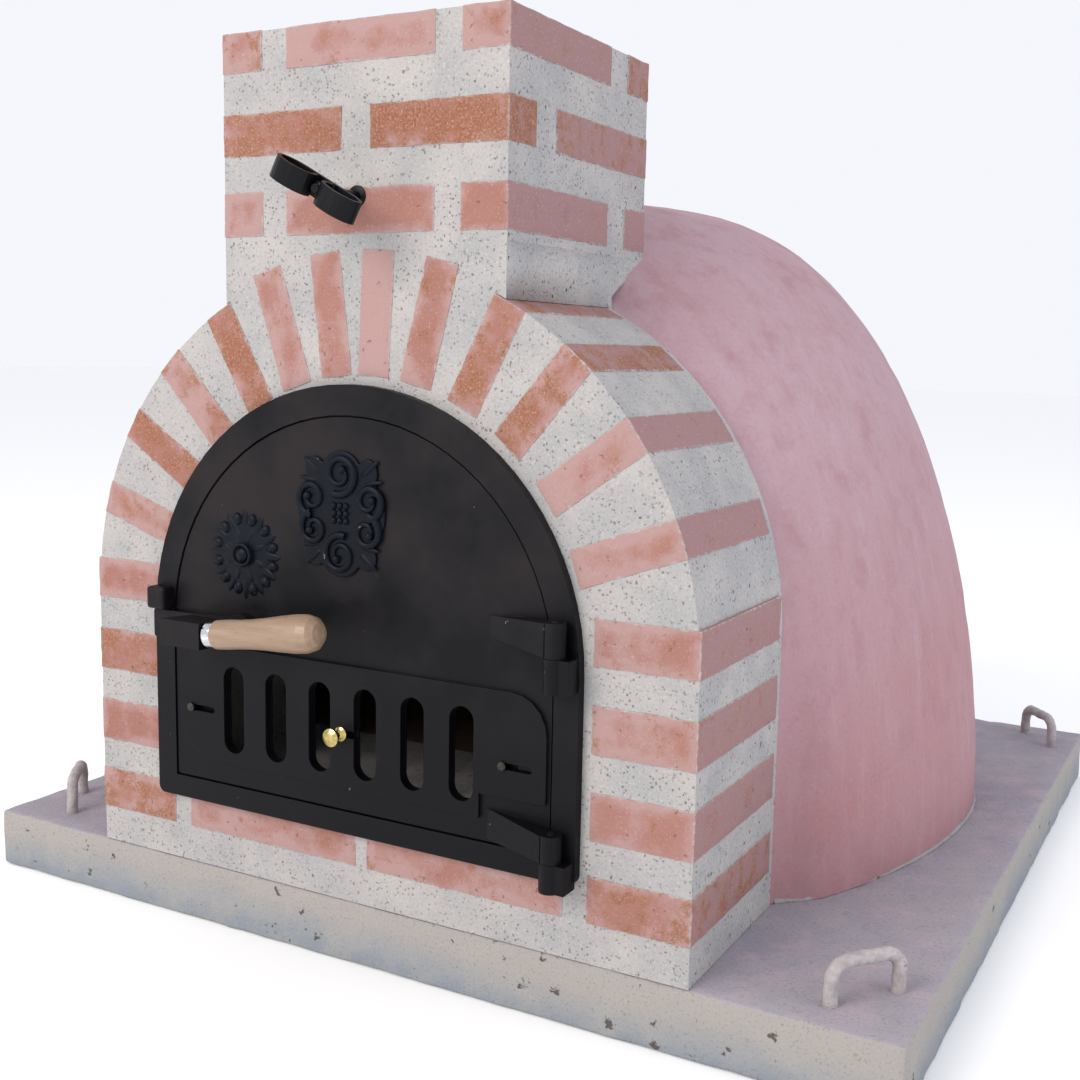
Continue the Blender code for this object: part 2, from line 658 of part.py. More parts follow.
def make_chimney(dome_seat):
    body = make_box("chimney_mortar", (CHIMNEY_LEFT, FRONT_Y, CHIMNEY_FOOT_Z + GAP),
                    (CHIMNEY_RIGHT, CHIMNEY_BACK_Y, CHIMNEY_TOP_Z), MORTAR)
    boolean(body, make_flue_cut("flue_cut", CHIMNEY_FOOT_Z - 0.02, CHIMNEY_TOP_Z + 0.02), 'DIFFERENCE')
    pockets = bmesh.new()
    lay_chimney_bricks(pockets)
    boolean(body, add_mesh("chimney_pockets", pockets, None), 'DIFFERENCE')
    for piece in ("chimney_mortar", "chimney_brick_3_back_left", "chimney_brick_3_back_right"):
        boolean(bpy.data.objects[piece], dome_seat, 'DIFFERENCE')
    bore = make_rod("spindle_bore", (CHIMNEY_X, FRONT_Y - 0.02, DAMPER_Z),
                    (CHIMNEY_X, SPINDLE_BACK_Y + 0.001, DAMPER_Z), SPINDLE_R + 2 * GAP, None)
    boolean(body, bore, 'DIFFERENCE')
    boolean(bpy.data.objects["chimney_brick_3_front"], bore, 'DIFFERENCE')


# ---------------------------------------------------------------- door frame

def make_frame():
    outer = arch_outline(DOOR_X, FRAME_HALF_WIDTH, FRAME_BOTTOM_Z, FRAME_SPRING_Z, 0.010)
    recess = arch_outline(DOOR_X, RECESS_HALF_WIDTH, LEAF_BOTTOM_Z - 0.002, DOOR_SPRING_Z)
    lip = arch_outline(DOOR_X, LIP_HALF_WIDTH, LIP_FLOOR_Z, DOOR_SPRING_Z)
    sleeve = arch_outline(DOOR_X, LIP_HALF_WIDTH + SLEEVE_THICK, LIP_FLOOR_Z - SLEEVE_THICK, DOOR_SPRING_Z)
    lip_front = FRONT_Y - GAP - LIP_THICK
    frame = make_plate("door_frame", [outer], FRAME_FRONT_Y, FRONT_Y - GAP, IRON)
    boolean(frame, make_plate("frame_sleeve", [sleeve], lip_front + 0.001, FRAME_BACK_Y, None), 'UNION')
    boolean(frame, make_plate("frame_recess", [recess], FRAME_FRONT_Y - 0.02, lip_front, None), 'DIFFERENCE')
    boolean(frame, make_plate("frame_mouth", [lip], FRAME_FRONT_Y - 0.03, FRAME_BACK_Y + 0.02, None), 'DIFFERENCE')
    for name, (low, joint, _) in (("top", HINGE_TOP_Z), ("low", HINGE_LOW_Z)):
        ear = bmesh.new()
        add_box_to(ear, (HINGE_X + 0.002, HINGE_Y - 0.008, low + 0.0005),
                   (DOOR_X + FRAME_HALF_WIDTH - 0.002, FRAME_FRONT_Y + 0.004, joint - 0.0005))
        boolean(frame, add_mesh(f"frame_ear_{name}", ear, None), 'UNION')
        boolean(frame, make_knuckle(f"frame_knuckle_{name}", low, joint), 'UNION')
        boolean(frame, make_pin_bore(f"frame_bore_{name}", low + 0.002, joint + 0.01), 'DIFFERENCE')
    keeper = make_box("keeper_lug", (KEEPER_X[0], LATCH_BAR_Y[0] - 0.012, KEEPER_Z[0]),
                      (KEEPER_X[1], FRAME_FRONT_Y + 0.004, KEEPER_Z[1]), None)
    bevel = keeper.modifiers.new("soften", 'BEVEL')
    bevel.width = 0.004
    bevel.segments = 2
    boolean(frame, keeper, 'UNION')


def make_knuckle(name, low, high):
    return make_rod(name, (HINGE_X, HINGE_Y, low), (HINGE_X, HINGE_Y, high), KNUCKLE_R, None)


def make_pin_bore(name, low, high):
    return make_rod(name, (HINGE_X, HINGE_Y, low), (HINGE_X, HINGE_Y, high), PIN_R + GAP, None, 16)


def make_pins():
    for name, (low, _, high) in (("top", HINGE_TOP_Z), ("bottom", HINGE_LOW_Z)):
        make_rod(f"hinge_pin_{name}", (HINGE_X, HINGE_Y, low + 0.0025),
                 (HINGE_X, HINGE_Y, high + 0.001), PIN_R, ZINC, 16)


# ---------------------------------------------------------------- door leaf

def slot_outlines():
    outlines = []
    for i in range(SLOT_COUNT):
        x = SLOT_FIRST_X + i * SLOT_PITCH
        outlines.append(slot_outline(x - SLOT_WIDTH / 2, x + SLOT_WIDTH / 2, *SLOT_Z))
    return outlines


def make_strap(name, near_z, far_z):
    """A hinge strap: a wedge that thickens from the leaf to its knuckle."""
    bm = bmesh.new()
    near_x = HINGE_X - 0.008
    verts = add_box_to(bm, (0, 0, 0), (1, 1, 1))
    for vert in verts:
        near = vert.co.x > 0.5
        front = vert.co.y < 0.5
        x = near_x if near else STRAP_FAR_X
        if front:
            y = HINGE_Y - KNUCKLE_R + 0.002 if near else LEAF_FRONT_Y - 0.0012
        else:
            y = FRAME_FRONT_Y - 0.001 if near else LEAF_FRONT_Y + 0.002
        z = (near_z if near else far_z)[0 if vert.co.z < 0.5 else 1]
        vert.co = (x, y, z)
    return add_mesh(name, bm, None)


def make_leaf():
    outline = arch_outline(DOOR_X, LEAF_HALF_WIDTH, LEAF_BOTTOM_Z, DOOR_SPRING_Z, 0.004)
    leaf = make_plate("door_leaf", [outline], LEAF_FRONT_Y, LEAF_BACK_Y, IRON)
    panel = rounded_outline([
        (-0.284, 0.227, 0.055), (0.163, 0.227, 0), (0.163, 0.256, 0),
        (0.2485, 0.256, 0.004), (0.2485, 0.3785, 0.045), (-0.284, 0.3785, 0.055)])
    boolean(leaf, make_plate("vent_panel", [panel], PANEL_FRONT_Y, LEAF_FRONT_Y + 0.002, None), 'UNION')
    foot, joint, head = HINGE_TOP_Z
    make_leaf_hinge(leaf, "top", joint + 0.0006, head, (0.437, 0.461))
    foot, joint, head = HINGE_LOW_Z
    make_leaf_hinge(leaf, "low", joint + 0.0006, head, (0.204, 0.240))
    stud = make_rod("latch_stud", (LATCH_X, LEAF_BACK_Y - 0.002, LATCH_Z),
                    (LATCH_X, LATCH_BAR_Y[0] - 0.009, LATCH_Z), LATCH_STUD_R, None)
    boolean(leaf, stud, 'UNION')
    holes = slot_outlines()
    for x in GUIDE_BOLT_X:
        holes.append(slot_outline(x - 0.0046, x + SLIDER_TRAVEL + 0.0046, GUIDE_Z - 0.004, GUIDE_Z + 0.004))
    for i, hole in enumerate(holes):
        cut = make_plate(f"leaf_hole_{i}", [hole], PANEL_FRONT_Y - 0.01, LEAF_BACK_Y + 0.01, None)
        boolean(leaf, cut, 'DIFFERENCE')
    notch = make_box("knob_notch", (KNOB_X - 0.0055, PANEL_FRONT_Y - 0.01, KNOB_Z - 0.0045),
                     (SLOT_FIRST_X + 3 * SLOT_PITCH, LEAF_BACK_Y + 0.01, KNOB_Z + 0.0045), None)
    boolean(leaf, notch, 'DIFFERENCE')
    return leaf


def make_leaf_hinge(leaf, name, low, high, far_z):
    boolean(leaf, make_strap(f"strap_{name}", (low + 0.0007, high - 0.0007), far_z), 'UNION')
    boolean(leaf, make_knuckle(f"leaf_knuckle_{name}", low, high), 'UNION')
    boolean(leaf, make_pin_bore(f"leaf_bore_{name}", low - 0.01, high + 0.01), 'DIFFERENCE')


# ---------------------------------------------------------------- air slider

def make_slider():
    front = LEAF_BACK_Y + GAP
    back = front + SLIDER_THICK
    edge = rounded_outline([
        (SLIDER_X[0], SLIDER_Z[0], 0.006), (SLIDER_X[1], SLIDER_Z[0], 0.006),
        (SLIDER_X[1], SLIDER_Z[1], 0.006), (SLIDER_X[0], SLIDER_Z[1], 0.006)])
    holes = slot_outlines()
    for x in GUIDE_BOLT_X:
        holes.append(round_outline(x, GUIDE_Z, BOLT_R + GAP))
    holes.append(round_outline(KNOB_X, KNOB_Z, KNOB_SHANK_R + GAP))
    slider = make_plate("vent_slider", [edge, *holes], front, back, IRON)
    pieces = [slider]
    for name, x in zip(("left", "right"), GUIDE_BOLT_X):
        pieces.append(make_stud(f"vent_bolt_{name}", x, GUIDE_Z, BOLT_R, BOLT_HEAD_R, 0.004, back, ZINC))
    knob_front = PANEL_FRONT_Y - GAP
    knob = make_turned("vent_knob", [
        (0, 0.0245), (0.0065, 0.0240), (KNOB_HEAD_R, 0.0215), (KNOB_HEAD_R, 0.0195), (0.0085, 0.0175),
        (0.0045, 0.0145), (0.0040, 0.0075), (0.0060, 0.0045), (0.0088, 0.0025), (0.0090, 0),
        (KNOB_SHANK_R, 0), (KNOB_SHANK_R, knob_front - back), (0, knob_front - back)],
        (KNOB_X, knob_front, KNOB_Z), (0, -1, 0), BRASS, 24)
    pieces.append(knob)
    return pieces


def round_outline(x, z, radius, sides=16):
    turn = 2 * math.pi / sides
    return [(x + radius * math.cos(i * turn), z + radius * math.sin(i * turn)) for i in range(sides)]


def make_stud(name, x, z, shank_r, head_r, head_thick, back_y, mat):
    """A bolt along Y whose head stands just clear of the raised panel."""
    head_y = PANEL_FRONT_Y - GAP
    shank = head_y - back_y
    profile = [(0, head_thick), (head_r * 0.7, head_thick), (head_r, head_thick * 0.6), (head_r, 0),
               (shank_r, 0), (shank_r, shank), (0, shank)]
    return make_turned(name, profile, (x, head_y, z), (0, -1, 0), mat, 16)


# ---------------------------------------------------------------- latch and handle

def handle_direction():
    return Vector((math.cos(HANDLE_TILT), 0, math.sin(HANDLE_TILT)))


def make_latch():
    bar = rounded_outline([
        (LATCH_BAR_X, LATCH_BAR_Z[0], 0.004), (LATCH_X, LATCH_BAR_Z[0] + 0.009, 0),
        (LATCH_X, LATCH_BAR_Z[1] + 0.004, 0), (LATCH_BAR_X + 0.060, LATCH_BAR_Z[1], 0),
        (LATCH_BAR_X, LATCH_BAR_Z[1], 0.003)])
    lever = make_plate("latch_lever", [bar], *LATCH_BAR_Y, IRON)
    boss = make_rod("latch_boss", (LATCH_X, LEAF_FRONT_Y - 0.0006, LATCH_Z),
                    (LATCH_X, LATCH_BAR_Y[0] - 0.004, LATCH_Z), LATCH_BOSS_R, None)
    boolean(lever, boss, 'UNION')
    arm = bmesh.new()
    for vert in add_box_to(arm, (0, 0, 0), (1, 1, 1)):
        front = vert.co.y < 0.5
        right = vert.co.x > 0.5
        if front:
            x = HANDLE_START[0] - 0.0003 if right else -0.240
            z = 0.392 if vert.co.z < 0.5 else 0.424
        else:
            x = -0.200 if right else -0.258
            z = 0.383 if vert.co.z < 0.5 else 0.414
        vert.co = (x, HANDLE_Y - 0.014 if front else LATCH_BAR_Y[1] - 0.002, z)
    boolean(lever, add_mesh("latch_arm", arm, None), 'UNION')
    start = Vector((HANDLE_START[0], HANDLE_Y, HANDLE_START[1]))
    along = handle_direction()
    tang = make_rod("latch_tang", start - along * 0.010, start + along * TANG_LENGTH, TANG_R, None, 16)
    boolean(lever, tang, 'UNION')
    bore = make_rod("latch_bore", (LATCH_X, LEAF_FRONT_Y + 0.01, LATCH_Z),
                    (LATCH_X, LATCH_BAR_Y[0] - 0.02, LATCH_Z), LATCH_STUD_R + GAP, None)
    boolean(lever, bore, 'DIFFERENCE')
    bore_r = TANG_R + GAP
    foot = start + along * 0.0024
    ferrule = make_turned("handle_ferrule", [
        (bore_r, FERRULE_LENGTH), (FERRULE_R - 0.001, FERRULE_LENGTH), (FERRULE_R, FERRULE_LENGTH - 0.002),
        (FERRULE_R, 0.002), (FERRULE_R - 0.0015, 0), (bore_r, 0)], foot, along, CHROME)
    grip = make_turned("handle_grip", grip_profile(bore_r), foot + along * (FERRULE_LENGTH + GAP), along, BEECH)
    return [lever, ferrule, grip]


def grip_profile(bore_r):
    """The turned handle swells from a slim neck to a round end, with a blind hole for the tang."""
    outer = [(0.0150, 0), (0.0174, 0.002), (0.0178, 0.020), (0.0174, 0.035), (0.0178, 0.055),
             (0.0192, 0.078), (0.0212, 0.100), (0.0226, 0.120), (0.0224, 0.136), (0.0195, 0.147),
             (0.0130, 0.1535), (0.0060, 0.1555), (0, GRIP_LENGTH + 0.001)]
    hole_end = TANG_LENGTH - 0.010
    return [*reversed(outer), (bore_r, 0), (bore_r, hole_end), (0, hole_end)]


# ---------------------------------------------------------------- damper

def make_damper_handle():
    """A flat bar whose ends curl forward into two open rings."""
    path = []
    turns = 20
    for i in range(turns + 1):
        angle = math.radians(-35 + 305 * i / turns)
        path.append((-RING_CENTRE + RING_RX * math.cos(angle), RING_RY + RING_RY * math.sin(angle)))
    path += [(-x, forward) for x, forward in reversed(path)]
    bm = bmesh.new()
    half = STRIP_WIDTH / 2
    lower = [bm.verts.new((x, -forward, -half)) for x, forward in path]
    upper = [bm.verts.new((x, -forward, half)) for x, forward in path]
    for i in range(len(path) - 1):
        bm.faces.new((lower[i], lower[i + 1], upper[i + 1], upper[i]))
    handle = add_mesh("damper_handle", bm, STEEL)
    shell = handle.modifiers.new("thickness", 'SOLIDIFY')
    shell.thickness = STRIP_THICK
    shell.offset = 0
    handle.location = (CHIMNEY_X, STRIP_BACK_Y, DAMPER_Z)
    handle.rotation_euler = (0, DAMPER_TILT, 0)
    bore = make_rod("handle_bore", (CHIMNEY_X, STRIP_BACK_Y - 0.008, DAMPER_Z),
                    (CHIMNEY_X, STRIP_BACK_Y + 0.01, DAMPER_Z), SPINDLE_R + GAP, None, 16)
    boolean(handle, bore, 'DIFFERENCE')
    return handle


def make_spindle():
    """The rod through the chimney, with the butterfly plate welded to it inside the flue."""
    spindle = make_rod("damper_spindle", (CHIMNEY_X, SPINDLE_FRONT_Y, DAMPER_Z),
                       (CHIMNEY_X, SPINDLE_BACK_Y, DAMPER_Z), SPINDLE_R, STEEL)
    plate = bmesh.new()
    add_box_to(plate, (-PLATE_HALF_X, FLUE_FRONT_Y + 0.004, -PLATE_THICK / 2),
               (PLATE_HALF_X, FLUE_BACK_Y - 0.004, PLATE_THICK / 2))
    plate.transform(Matrix.Translation((CHIMNEY_X, 0, DAMPER_Z)) @ Matrix.Rotation(DAMPER_TILT, 4, 'Y'))
    boolean(spindle, add_mesh("damper_plate", plate, None), 'UNION')
    collar = make_rod("spindle_collar", (CHIMNEY_X, STRIP_BACK_Y + STRIP_THICK / 2 + GAP, DAMPER_Z),
                      (CHIMNEY_X, STRIP_BACK_Y + 0.012, DAMPER_Z), 0.008, None)
    boolean(spindle, collar, 'UNION')
    return spindle


# ---------------------------------------------------------------- assembly

def build():
    make_slab()
    for name, sx, sy in (("fl", -1, -1), ("fr", 1, -1), ("rl", -1, 1), ("rr", 1, 1)):
        make_loop(f"lifting_loop_{name}", sx, sy)
    make_hearth()
    make_domes()
    dome_seat = make_dome_solid("dome_seat", -GAP, None, WALL_BACK_Y)
    make_arch_wall(dome_seat)
    make_chimney(dome_seat)
    make_frame()
    make_pins()
    door_axis = make_axis("door_axis", (HINGE_X, HINGE_Y, LEAF_BOTTOM_Z))
    latch_axis = make_axis("latch_axis", (LATCH_X, LEAF_FRONT_Y, LATCH_Z), door_axis)
    damper_axis = make_axis("damper_axis", (CHIMNEY_X, FRONT_Y, DAMPER_Z))
    hang_on(door_axis, make_leaf(), *make_slider())
    hang_on(latch_axis, *make_latch())
    hang_on(damper_axis, make_damper_handle(), make_spindle())


build()
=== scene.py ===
# Wood fired pizza oven: brick arch and chimney, pink rendered dome, cast iron door
import json
import math
import random
import bpy
from mathutils import Matrix, Vector


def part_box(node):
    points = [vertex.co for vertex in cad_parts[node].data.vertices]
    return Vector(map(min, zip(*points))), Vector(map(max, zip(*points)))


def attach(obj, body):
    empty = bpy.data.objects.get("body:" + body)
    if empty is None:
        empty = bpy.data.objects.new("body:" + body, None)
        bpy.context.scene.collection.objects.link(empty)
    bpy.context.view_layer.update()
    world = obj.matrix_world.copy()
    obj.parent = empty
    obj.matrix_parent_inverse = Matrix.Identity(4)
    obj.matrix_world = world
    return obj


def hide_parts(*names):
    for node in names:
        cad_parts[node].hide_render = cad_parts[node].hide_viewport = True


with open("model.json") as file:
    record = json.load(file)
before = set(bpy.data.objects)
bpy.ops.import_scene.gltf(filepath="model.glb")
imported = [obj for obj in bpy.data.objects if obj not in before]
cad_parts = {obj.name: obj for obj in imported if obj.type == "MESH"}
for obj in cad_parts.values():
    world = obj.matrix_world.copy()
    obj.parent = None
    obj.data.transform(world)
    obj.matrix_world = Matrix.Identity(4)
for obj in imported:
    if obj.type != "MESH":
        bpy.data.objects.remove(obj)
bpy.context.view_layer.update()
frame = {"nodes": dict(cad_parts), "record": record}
nodes = frame["nodes"]
scene = bpy.context.scene
scene.view_settings.view_transform = 'Standard'
print("frame loaded,", len(nodes), "CAD pieces")


# small helpers

def linear(hexColour, alpha=1.0):
    parts = [int(hexColour[i:i + 2], 16) / 255 for i in (1, 3, 5)]
    return tuple(c / 12.92 if c <= 0.04045 else ((c + 0.055) / 1.055) ** 2.4 for c in parts) + (alpha,)


def put(tree, kind, wires=None, **settings):
    # adds a node, sets its properties, and fills or links its sockets
    made = tree.nodes.new(kind)
    for key, value in settings.items():
        setattr(made, key, value)
    for socket, source in (wires or {}).items():
        if isinstance(source, bpy.types.NodeSocket):
            tree.links.new(source, made.inputs[socket])
        else:
            made.inputs[socket].default_value = source
    return made


def freshMaterial(name):
    # a new material, its tree, its shader and the place on the piece that patterns read
    made = bpy.data.materials.new(name)
    made.use_nodes = True
    tree = made.node_tree
    tree.nodes.clear()
    shader = put(tree, "ShaderNodeBsdfPrincipled")
    put(tree, "ShaderNodeOutputMaterial", {"Surface": shader.outputs["BSDF"]})
    place = put(tree, "ShaderNodeTexCoord").outputs["Object"]
    return made, tree, shader, place


def surface(tree, shader, colour, relief, strength, depth, roughness, shine=0.25):
    # joins a surface's colour and its relief, whose depth is in metres, to the shader
    bump = put(tree, "ShaderNodeBump", {"Strength": strength, "Distance": depth, "Height": relief})
    tree.links.new(colour, shader.inputs["Base Color"])
    tree.links.new(bump.outputs["Normal"], shader.inputs["Normal"])
    shader.inputs["Roughness"].default_value = roughness
    shader.inputs["Specular IOR Level"].default_value = shine


def share(tree, source, low, high, toLow=0.0, toHigh=1.0):
    # turns the values between low and high into a share, for masks
    made = put(tree, "ShaderNodeMapRange", {0: source, 1: low, 2: high, 3: toLow, 4: toHigh})
    return made.outputs[0]


def blend(tree, factor, first, second):
    # mixes two colours, by a number or by a mask
    made = put(tree, "ShaderNodeMix", data_type='RGBA')
    for index, source in ((0, factor), (6, first), (7, second)):
        if isinstance(source, bpy.types.NodeSocket):
            tree.links.new(source, made.inputs[index])
        else:
            made.inputs[index].default_value = source
    return made.outputs[2]


def sums(tree, kind, first, second):
    return put(tree, "ShaderNodeMath", {0: first, 1: second}, operation=kind).outputs[0]


def clearSelection():
    if bpy.context.object and bpy.context.object.mode != 'OBJECT':
        bpy.ops.object.mode_set(mode='OBJECT')
    bpy.ops.object.select_all(action='DESELECT')


def pick(obj):
    clearSelection()
    obj.select_set(True)
    bpy.context.view_layer.objects.active = obj


def placeInMesh(obj):
    # the piece's place, turn and size go into its mesh
    pick(obj)
    bpy.ops.object.transform_apply(location=True, rotation=True, scale=True)


def applyAll(obj):
    pick(obj)
    for modifier in list(obj.modifiers):
        bpy.ops.object.modifier_apply(modifier=modifier.name)


def ownCopy(nodeName, name):
    # a CAD piece's copy, merged into one skin, with nothing of the CAD piece's marks
    made = bpy.data.objects.new(name, nodes[nodeName].data.copy())
    scene.collection.objects.link(made)
    pick(made)
    bpy.ops.object.mode_set(mode='EDIT')
    bpy.ops.mesh.select_all(action='SELECT')
    bpy.ops.mesh.remove_doubles(threshold=0.00005)
    bpy.ops.mesh.select_all(action='DESELECT')
    bpy.ops.object.mode_set(mode='OBJECT')
    return made


def dress(obj, material, body, smoothAngle=None):
    obj.data.materials.clear()
    obj.data.materials.append(material)
    if smoothAngle is not None:
        pick(obj)
        bpy.ops.object.shade_smooth_by_angle(angle=math.radians(smoothAngle))
    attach(obj, body)
    return obj


def bevelEdges(obj, width):
    pick(obj)
    bpy.ops.object.mode_set(mode='EDIT')
    bpy.ops.mesh.select_all(action='SELECT')
    bpy.ops.mesh.bevel(offset=width, segments=2, affect='EDGES')
    bpy.ops.object.mode_set(mode='OBJECT')


def roughen(obj, strength, size, depth, name, middle=0.5):
    # small waves: strength is how far they reach and size how long they are, in metres
    texture = bpy.data.textures.new(name, 'CLOUDS')
    texture.noise_scale = size
    texture.noise_depth = depth
    texture.noise_basis = 'BLENDER_ORIGINAL'
    bumps = obj.modifiers.new(name, 'DISPLACE')
    bumps.texture = texture
    bumps.texture_coords = 'LOCAL'
    bumps.strength = strength
    bumps.mid_level = middle


# camera, floor and light

camera = {
    "place": (0.9187, -1.9103, 0.7513),
    "yaw": 0.5018,
    "pitch": 0.1404,
    "roll": 0.0201,
    "lens": 44.68,
    "sensor": 36.0,
    "farthest": 200,
}


def setCamera():
    yaw, pitch, roll = camera["yaw"], camera["pitch"], camera["roll"]
    ahead = Vector((-math.sin(yaw) * math.cos(pitch), math.cos(yaw) * math.cos(pitch), -math.sin(pitch)))
    level = Vector((math.cos(yaw), math.sin(yaw), 0))
    upright = level.cross(ahead)
    right = math.cos(roll) * level + math.sin(roll) * upright
    up = math.cos(roll) * upright - math.sin(roll) * level
    data = bpy.data.cameras.new("camera")
    data.lens = camera["lens"]
    data.sensor_width = camera["sensor"]
    data.clip_end = camera["farthest"]
    made = bpy.data.objects.new("camera", data)
    scene.collection.objects.link(made)
    turn = Matrix((right, up, -ahead)).transposed().to_4x4()
    made.matrix_world = Matrix.Translation(camera["place"]) @ turn
    scene.camera = made


setCamera()

studio = {
    "aim": (0, -0.2, 0.45),       # what the panels face
    "roomColour": "#f8faff",
    "roomStrength": 0.97,
    "floorColour": "#fdfdfd",
    "floorSize": 60,
    "floorDrop": 0.0005,          # the floor lies this far under the slab
}

lights = {
    # name: (place, size in metres, watts, colour)
    "softPanelFront": ((-1.6, -5.2, 3.4), 3.0, 215, "#fff8f0"),
    "softPanelRight": ((5.2, -0.5, 3.2), 3.0, 72, "#eef1ff"),
}


def hangLights():
    target = Vector(studio["aim"])
    for name, (place, size, watts, colour) in lights.items():
        data = bpy.data.lights.new(name, 'AREA')
        data.shape = 'SQUARE'
        data.size = size
        data.energy = watts
        data.color = linear(colour)[:3]
        made = bpy.data.objects.new(name, data)
        scene.collection.objects.link(made)
        made.location = place
        made.rotation_euler = (target - Vector(place)).to_track_quat('-Z', 'Y').to_euler()
    world = bpy.data.worlds.new("paleStudio")
    world.use_nodes = True
    back = world.node_tree.nodes["Background"]
    back.inputs["Color"].default_value = linear(studio["roomColour"])
    back.inputs["Strength"].default_value = studio["roomStrength"]
    scene.world = world


hangLights()


def layFloor():
    clearSelection()
    bpy.ops.mesh.primitive_plane_add(size=studio["floorSize"], location=(0, 0, -studio["floorDrop"]))
    floor = bpy.context.object
    floor.name = "studioFloor"
    placeInMesh(floor)
    # matt studio paper: pale, even and dead flat
    paper, _, shader, _ = freshMaterial("paleStudioPaper")
    shader.inputs["Base Color"].default_value = linear(studio["floorColour"])
    shader.inputs["Roughness"].default_value = 0.9
    floor.data.materials.append(paper)


layFloor()
print("camera, light and floor are set")


# materials: every pattern is given its size in millimetres

def perMillimetres(size):
    return 1000.0 / size


def speckles(tree, place, size, reach, chosen):
    # ragged spots of many sizes: 1 in a spot and 0 outside it
    # size is the cells' width in mm, reach the largest spot's radius in cells, chosen the share of cells with one
    # noise pushes the cells about, so that no spot is round
    wobble = put(tree, "ShaderNodeTexNoise", {"Vector": place, "Scale": perMillimetres(size * 0.4), "Detail": 2.0})
    pushed = put(tree, "ShaderNodeVectorMath", {0: wobble.outputs["Color"], 1: (0.5, 0.5, 0.5)}, operation='SUBTRACT')
    scaled = put(tree, "ShaderNodeVectorMath", {0: pushed.outputs[0], 3: size * 0.0011}, operation='SCALE')
    moved = put(tree, "ShaderNodeVectorMath", {0: place, 1: scaled.outputs[0]}, operation='ADD')
    cells = put(tree, "ShaderNodeTexVoronoi", {"Vector": moved.outputs[0], "Scale": perMillimetres(size)})
    lots = put(tree, "ShaderNodeSeparateColor", {"Color": cells.outputs["Color"]})
    picked = share(tree, lots.outputs[0], chosen - 0.01, chosen, 1.0, 0.0)
    radius = share(tree, sums(tree, 'POWER', lots.outputs[1], 2.5), 0.0, 1.0, reach * 0.30, reach)
    ratio = sums(tree, 'DIVIDE', cells.outputs["Distance"], radius)
    return sums(tree, 'MULTIPLY', share(tree, ratio, 0.75, 1.15, 1.0, 0.0), picked)


def cloud(tree, place, size, detail=3.0, roughness=0.55, stretch=None):
    # soft noise with lumps of this size in mm
    if stretch:
        place = put(tree, "ShaderNodeMapping", {"Vector": place, "Scale": stretch}).outputs["Vector"]
    made = put(tree, "ShaderNodeTexNoise", {
        "Vector": place, "Scale": perMillimetres(size), "Detail": detail, "Roughness": roughness})
    return made.outputs["Fac"]


def mortarPattern(tree, place, light, dark):
    # the colour and the height of a mortar with sand, grit and blow holes in it
    broad = cloud(tree, place, 70, 4.0)
    base = blend(tree, share(tree, broad, 0.35, 0.65), linear(dark), linear(light))
    sand = cloud(tree, place, 3.2, 2.0, 0.7)
    base = blend(tree, share(tree, sand, 0.56, 0.74, 0.0, 0.55), base, linear("#7b7369"))
    base = blend(tree, share(tree, sand, 0.26, 0.42, 0.55, 0.0), base, linear("#c4c2bd"))
    crowding = cloud(tree, place, 55, 3.0)
    gritMask = speckles(tree, place, 3.8, 0.42, 0.60)
    gritShare = sums(tree, 'MULTIPLY', gritMask, share(tree, crowding, 0.36, 0.62, 0.30, 0.75))
    base = blend(tree, gritShare, base, linear("#5f5a56"))
    stoneMask = speckles(tree, place, 8.5, 0.26, 0.50)
    base = blend(tree, sums(tree, 'MULTIPLY', stoneMask, 0.80), base, linear("#4a4642"))
    # blow holes are painted near black: painted shade inside the holes
    holeAndShadeMask = speckles(tree, place, 30, 0.13, 0.45)
    base = blend(tree, sums(tree, 'MULTIPLY', holeAndShadeMask, 0.92), base, linear("#332f2d"))
    fine = sums(tree, 'MULTIPLY', sand, 0.35)
    dips = sums(tree, 'ADD', sums(tree, 'MULTIPLY', gritMask, 0.35), sums(tree, 'ADD', stoneMask, holeAndShadeMask))
    height = sums(tree, 'SUBTRACT', sums(tree, 'ADD', fine, broad), dips)
    return base, height


def limeMortarMaterial():
    # white lime and cement mortar, floated: off-white, sandy, with dark grit and pin holes
    made, tree, shader, place = freshMaterial("floatedLimeMortar")
    colour, height = mortarPattern(tree, place, "#aca8a6", "#9c9b9c")
    surface(tree, shader, colour, height, 0.55, 0.0016, 0.92)
    return made


